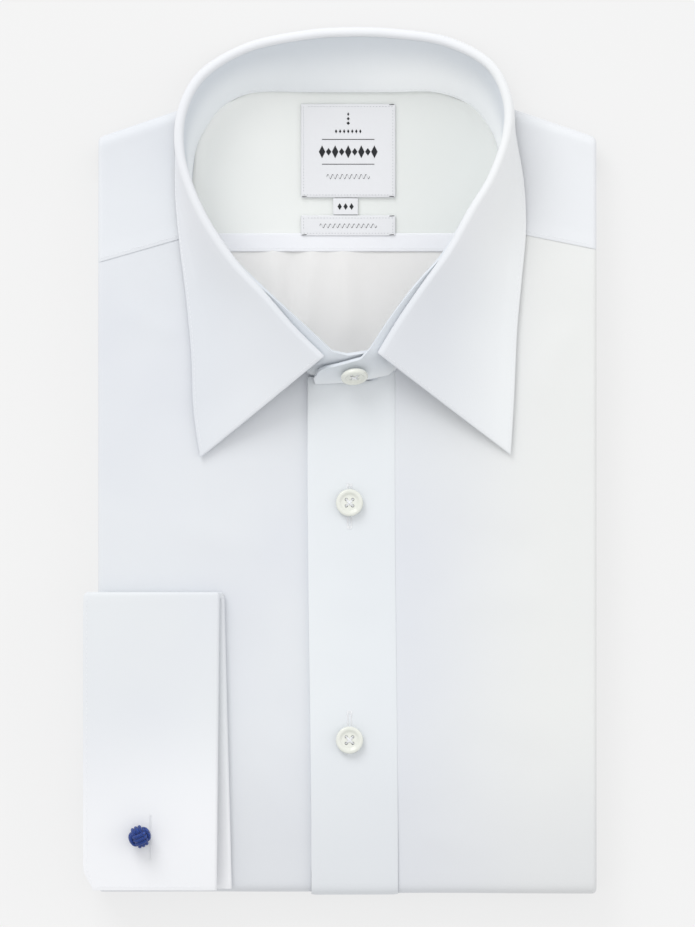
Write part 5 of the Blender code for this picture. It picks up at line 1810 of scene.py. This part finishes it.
@dataclass
class SilkKnot:
    """A link of knotted silk cord: the knot on the cuff, its post through the cloth and the knot inside.

    The knot is a ball of three sets of three strands, each set over one and under the other.
    """

    cuff: DoubleCuff
    x: float = -84.0
    radius: float = 4.8
    strand: float = 0.82  # the cord's radius
    post: float = 0.3  # its radius, thin where the buttonhole closes round it
    spread: float = 1.5  # between strands of a set
    filling: float = 2.6  # radius of the knot's core
    rise_y: float = 0.4  # the knot's middle above the post
    turned: float = 24.0  # degrees, about the upright
    tipped: float = 17.0  # degrees, over the cuff

    def build(self) -> None:
        """Makes the whole link."""
        cuff = self.cuff
        high = cuff.top_z(self.x, cuff.link_y) + CLEAR + self.radius
        place = Vector((self.x, cuff.link_y + self.rise_y, high))
        bm = bmesh.new()
        turned, tipped = math.radians(self.turned), math.radians(self.tipped)
        turn = Matrix.Rotation(turned, 3, "Z") @ Matrix.Rotation(tipped, 3, "X")
        for axis in range(3):
            for offset in (-self.spread, 0.0, self.spread):
                self.ring(bm, place, turn, axis, offset)
        self.core(bm, place, Vector((self.filling, self.filling, self.filling)))
        surface = cuff.top_z(cuff.slit_x, cuff.link_y)
        inside_z = cuff.inner_z + cuff.gap(cuff.slit_x, cuff.link_y) / 2
        # Up through the cloth, then bent over to the knot.
        route = [
            Vector((cuff.slit_x, cuff.link_y, inside_z)),
            Vector((cuff.slit_x, cuff.link_y, surface - 0.6)),
            Vector((cuff.slit_x - 0.2, cuff.link_y, surface + 0.6)),
            Vector((cuff.slit_x - 1.4, cuff.link_y, surface + 2.2)),
            Vector((self.x + 1.5, cuff.link_y, place.z - 0.6)),
        ]
        tube(bm, route, [Vector((0, 1, 0))] * len(route), self.post, False)
        flat = cuff.gap(cuff.slit_x, cuff.link_y) / 2 - 2 * CLEAR
        self.core(bm, Vector((cuff.slit_x, cuff.link_y, inside_z)), Vector((self.radius, self.radius, flat)))
        bmesh.ops.recalc_face_normals(bm, faces=bm.faces)
        dress(add_mesh("silk_knot_link", bm, NAVY_SILK), Slot.CORD, "link_right")

    def ring(self, bm: bmesh.types.BMesh, place: Vector, turn: Matrix, axis: int, offset: float) -> None:
        """Adds one strand of a set, round one axis of the knot."""
        over, under = self.radius - self.strand, self.radius - 2.7 * self.strand
        shrink = math.sqrt(1 - (offset / self.radius) ** 2)
        points, ways = [], []
        for angle in steps(0.0, math.tau, 48)[:-1]:
            high = (1 + math.cos(2 * angle)) / 2
            reach = mix(under, over, smooth(0.12, 0.88, high)) * shrink
            spot = [0.0, 0.0, 0.0]
            spot[axis] = offset * mix(0.8, 1.05, high)
            spot[(axis + 1) % 3] = reach * math.cos(angle)
            spot[(axis + 2) % 3] = reach * math.sin(angle)
            way = turn @ Vector(spot)
            points.append(place + way)
            ways.append(way.normalized())
        tube(bm, points, ways, self.strand, True)

    def core(self, bm: bmesh.types.BMesh, middle: Vector, sizes: Vector) -> None:
        """Adds a rounded filling."""
        made = bmesh.ops.create_uvsphere(bm, u_segments=24, v_segments=14, radius=1.0)
        for vert in made["verts"]:
            vert.co = (middle + Vector(part * size for part, size in zip(vert.co, sizes))) * METRES


# ---------------------------------------------------------------- buttons


def settle(obj: bpy.types.Object) -> None:
    """Applies the object's modifiers, all in order."""
    graph = bpy.context.evaluated_depsgraph_get()
    mesh = bpy.data.meshes.new_from_object(obj.evaluated_get(graph))
    obj.modifiers.clear()
    obj.data = mesh


class TurnedPoint(NamedTuple):
    """One point of a turned profile."""

    reach: float  # share of the radius
    height: float


@dataclass
class ShirtButtons:
    """Three turned four-hole buttons, sewn on crosswise, and the buttonholes of the front ones."""

    radius: float = 11.43 / 2
    thickness: float = 2.6
    hole_radius: float = 0.56
    hole_pitch: float = 2.7
    dish: float = 0.75  # how far the middle lies below the rim
    upper_y: float = -17.5
    lower_y: float = -117.2
    collar_x: float = 5.9
    collar_turn: float = 0.1  # how far the collar button looks aside
    collar_tilt: float = 0.12  # and further down than the band does
    band_share: float = 0.52  # of the band's height, to the collar button's middle
    band_wall: float = 1.6
    stand_off: float = 0.8  # of the collar button, on its thread
    sides: int = 64
    sharp: float = 35.0  # degrees between faces that meet in a sharp edge
    filled: float = 0.8  # share of a hole that its thread fills
    strand_gap: float = 0.28  # between the three strands of a cross
    strand_rise: float = 0.05  # over the button's face
    cross_rise: float = 0.22  # of the second cross over the first
    binding_x: float = 0.75  # from a buttonhole's line to the middle of its binding
    binding_width: float = 0.95
    bar_half: float = 0.5  # half of the length of the bar at each end
    bar_width: float = 2.5

    # (low y, high y) of the buttonholes
    HOLES = ((-27.9, -9.9), (-122.6, -105.4))

    def profile(self) -> list[TurnedPoint]:
        """The button's section, from the middle of its face to the middle of its back."""
        top = self.thickness
        rows = (
            (0.0, top - self.dish),
            (0.3, top - self.dish),
            (0.56, top - self.dish + 0.04),
            (0.66, top - 0.42),
            (0.75, top - 0.06),
            (0.85, top),
            (0.95, top - 0.2),
            (1.0, top - 0.85),
            (0.985, top - 1.6),
            (0.88, 0.3),
            (0.66, 0.0),
            (0.0, 0.0),
        )
        return through([TurnedPoint(*row) for row in rows], 4)

    def build(self) -> None:
        """Makes the buttons, their threads and the buttonholes."""
        mesh = self.turned_mesh()
        sewing = Needlework("button_threads", WHITE_THREAD, 0.17)
        centre_x = FORM.centre_x
        for name, node, y in (
            ("upper_button", "button_upper", self.upper_y),
            ("lower_button", "button_lower", self.lower_y),
        ):
            back = Vector((centre_x, y, FORM.placket_top(centre_x, y) + CLEAR))
            self.place(name, node, mesh, back, UP, sewing)
        row = BAND_LEFT_END[0]
        seam = Vector((row.seam_x, row.seam_y, FORM.front_z(row.seam_x, row.seam_y) + row.step))
        top = Vector((row.top_x, row.top_y, row.top_z))
        facing = Vector((self.collar_turn, 0, 0)) + Vector((1, 0, 0)).cross(top - seam).normalized()
        facing = (facing - UP * self.collar_tilt).normalized()
        back = seam.lerp(top, self.band_share) + facing * (self.band_wall + 2 * CLEAR + self.stand_off)
        back.x = self.collar_x
        self.place("collar_button", "button_collar", mesh, back, facing, sewing)
        sewing.make(Slot.BUTTON)
        self.bind_holes()

    def turned_mesh(self) -> bpy.types.Mesh:
        """Turns the blank and drills it, its back at z = 0."""
        bm = bmesh.new()
        rings = []
        for point in self.profile():
            if point.reach <= 0.001:
                rings.append([bm.verts.new((0, 0, point.height * METRES))])
                continue
            reach = point.reach * self.radius * METRES
            rings.append([
                bm.verts.new((reach * math.cos(turn), reach * math.sin(turn), point.height * METRES))
                for turn in steps(0.0, math.tau, self.sides)[:-1]
            ])
        for low, high in zip(rings, rings[1:]):
            for k in range(self.sides):
                after = (k + 1) % self.sides
                if len(low) == 1:
                    bm.faces.new((low[0], high[k], high[after]))
                elif len(high) == 1:
                    bm.faces.new((low[k], high[0], low[after]))
                else:
                    bm.faces.new((low[k], high[k], high[after], low[after]))
        bmesh.ops.recalc_face_normals(bm, faces=bm.faces)
        blank = add_mesh("button_blank", bm, BUTTON_RESIN, self.sharp)
        drills = []
        for k in range(4):
            turn = math.radians(45 + 90 * k)
            reach = self.hole_pitch / math.sqrt(2)
            drill_bm = bmesh.new()
            place = Vector((reach * math.cos(turn), reach * math.sin(turn), self.thickness / 2))
            bmesh.ops.create_cone(
                drill_bm,
                cap_ends=True,
                segments=24,
                radius1=self.hole_radius * METRES,
                radius2=self.hole_radius * 1.25 * METRES,
                depth=self.thickness * 1.4 * METRES,
                matrix=Matrix.Translation(place * METRES),
            )
            drill = add_mesh(f"drill_{k}", drill_bm, BUTTON_RESIN)
            boolean = blank.modifiers.new("hole", "BOOLEAN")
            boolean.operation = "DIFFERENCE"
            boolean.object = drill
            drills.append(drill)
        settle(blank)
        mesh = blank.data
        for helper in (*drills, blank):
            bpy.data.objects.remove(helper, do_unlink=True)
        mesh.set_sharp_from_angle(angle=math.radians(self.sharp))
        return mesh

    def place(
        self, name: str, node: str, mesh: bpy.types.Mesh, back: Vector, facing: Vector, sewing: Needlework
    ) -> None:
        """Sews one button on.

        Args:
            name: The piece's name.
            node: The node that it stands for.
            mesh: The turned and drilled button.
            back: Where the middle of its back lies.
            facing: The way that it looks.
            sewing: The needlework that takes its thread.
        """
        turn = UP.rotation_difference(facing.normalized()).to_matrix()
        obj = bpy.data.objects.new(name, mesh.copy())
        obj.matrix_world = Matrix.Translation(back * METRES) @ turn.to_4x4()
        bpy.context.scene.collection.objects.link(obj)
        dress(obj, Slot.BUTTON, node)
        face = self.thickness - self.dish
        half = self.hole_pitch / 2
        depth = face - 0.1  # a little below the face
        for x, y in ((half, half), (half, -half), (-half, -half), (-half, half)):
            bmesh.ops.create_cone(
                sewing.bm,
                cap_ends=True,
                segments=12,
                radius1=self.hole_radius * self.filled * METRES,
                radius2=self.hole_radius * self.filled * METRES,
                depth=depth * METRES,
                matrix=obj.matrix_world @ Matrix.Translation(Vector((x, y, depth / 2)) * METRES),
            )
        for lift, (x, y) in enumerate(((half, half), (half, -half))):
            across = Vector((-y, x, 0)).normalized()
            z = face + self.strand_rise + self.cross_rise * lift
            for strand in (-self.strand_gap, 0.0, self.strand_gap):
                ends = [
                    back + turn @ (Vector((side * x, side * y, z)) + across * strand) for side in (-1, 1)
                ]
                sewing.stitch(ends[0], ends[1], facing.normalized())

    def bind_holes(self) -> None:
        """Binds the buttonholes of the placket with close stitches, a bar at each end."""
        sewing = Needlework("buttonhole_stitches", WHITE_THREAD, 0.15)
        x = FORM.centre_x
        for low_y, high_y in self.HOLES:
            for side in (-self.binding_x, self.binding_x):
                ends = [Vector((x + side, y, FORM.placket_top(x, y))) for y in (low_y, high_y)]
                sewing.satin(ends[0], ends[1], UP, self.binding_width, 0.32)
            for y in (low_y, high_y):
                middle, half = Vector((x, y, FORM.placket_top(x, y))), Vector((0, self.bar_half, 0))
                sewing.satin(middle - half, middle + half, UP, self.bar_width, 0.3)
        sewing.make(Slot.FUSED)


# ---------------------------------------------------------------- studio


class SoftBox(NamedTuple):
    """A square soft box: where it hangs as seen from the shirt, and how much light it gives."""

    name: str
    bearing: float  # degrees from the collar's side towards the wearer's left
    height: float  # degrees above the table
    away: float  # metres
    half_angle: float  # degrees that it fills, from its middle
    share: float  # of a white card's brightness, lying flat under it


@dataclass
class Studio:
    """A plain floor, soft light and a long lens straight above."""

    floor_size: float = 4.0  # metres
    lens: float = 600.0  # millimetres
    sensor: float = 36.0  # millimetres
    clip_end: float = 30.0  # metres
    aim_x: float = 3.15
    aim_y: float = -1.05
    aim_z: float = 20.0
    view_long: float = 389.3  # what the frame's long side takes in
    room_share: float = 0.885  # of a white card's brightness, from a white tent all round

    BOXES = (
        SoftBox("key", -26.0, 35.0, 6.0, 14.0, 0.23),
        SoftBox("overhead", 0.0, 88.0, 6.0, 14.0, 0.03),
        SoftBox("right", 84.0, 30.0, 6.0, 13.0, 0.035),
    )

    def build(self) -> None:
        """Makes the floor, the lights and the camera."""
        self.floor()
        self.lights()
        self.camera()

    def floor(self) -> None:
        """Lays the table's top."""
        bm = bmesh.new()
        bmesh.ops.create_grid(bm, x_segments=4, y_segments=4, size=self.floor_size / 2)
        add_mesh("floor", bm, TABLE)

    def lights(self) -> None:
        """Hangs the soft boxes in an even pale room."""
        scene = bpy.context.scene
        scene.view_settings.view_transform = "Standard"
        world = bpy.data.worlds.new("pale_room")
        world.use_nodes = True
        world.node_tree.nodes.clear()
        light = {"Color": (1, 1, 1, 1), "Strength": self.room_share}
        glow = add_node(world.node_tree, "ShaderNodeBackground", values=light)
        add_node(world.node_tree, "ShaderNodeOutputWorld", links={"Surface": glow.outputs["Background"]})
        scene.world = world
        for box in self.BOXES:
            self.soft_box(box)

    def soft_box(self, box: SoftBox) -> None:
        """Hangs one square soft box that faces the shirt."""
        turn, rise = math.radians(box.bearing), math.radians(box.height)
        way = Vector((math.sin(turn) * math.cos(rise), math.cos(turn) * math.cos(rise), math.sin(rise)))
        light = bpy.data.lights.new(box.name, "AREA")
        light.size = 2 * box.away * math.tan(math.radians(box.half_angle))
        light.energy = box.share * (math.pi * box.away) ** 2 / way.z
        obj = bpy.data.objects.new(box.name, light)
        obj.location = way * box.away
        obj.rotation_euler = (-way).to_track_quat("-Z", "Y").to_euler()
        obj.visible_camera = False
        bpy.context.scene.collection.objects.link(obj)

    def camera(self) -> None:
        """Sets the camera straight above, its top towards the collar."""
        data = bpy.data.cameras.new("camera")
        data.lens = self.lens
        data.sensor_width = self.sensor
        data.clip_end = self.clip_end
        camera = bpy.data.objects.new("camera", data)
        distance = self.lens / data.sensor_width * self.view_long
        camera.location = Vector((self.aim_x, self.aim_y, self.aim_z + distance)) * METRES
        bpy.context.scene.collection.objects.link(camera)
        bpy.context.scene.camera = camera


def main() -> None:
    """Builds the shirt and the studio."""
    cuff = DoubleCuff()
    parts = FoldedEdges(), Fronts(), Yoke(), NeckInside(), Collar(), cuff, SilkKnot(cuff), ShirtButtons()
    for assembly in parts:
        log.info("building %s", type(assembly).__name__)
        assembly.build()
    Studio().build()
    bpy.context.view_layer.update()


if __name__ == "__main__":
    logging.basicConfig(level=logging.INFO, format="%(name)s: %(message)s")
    main()
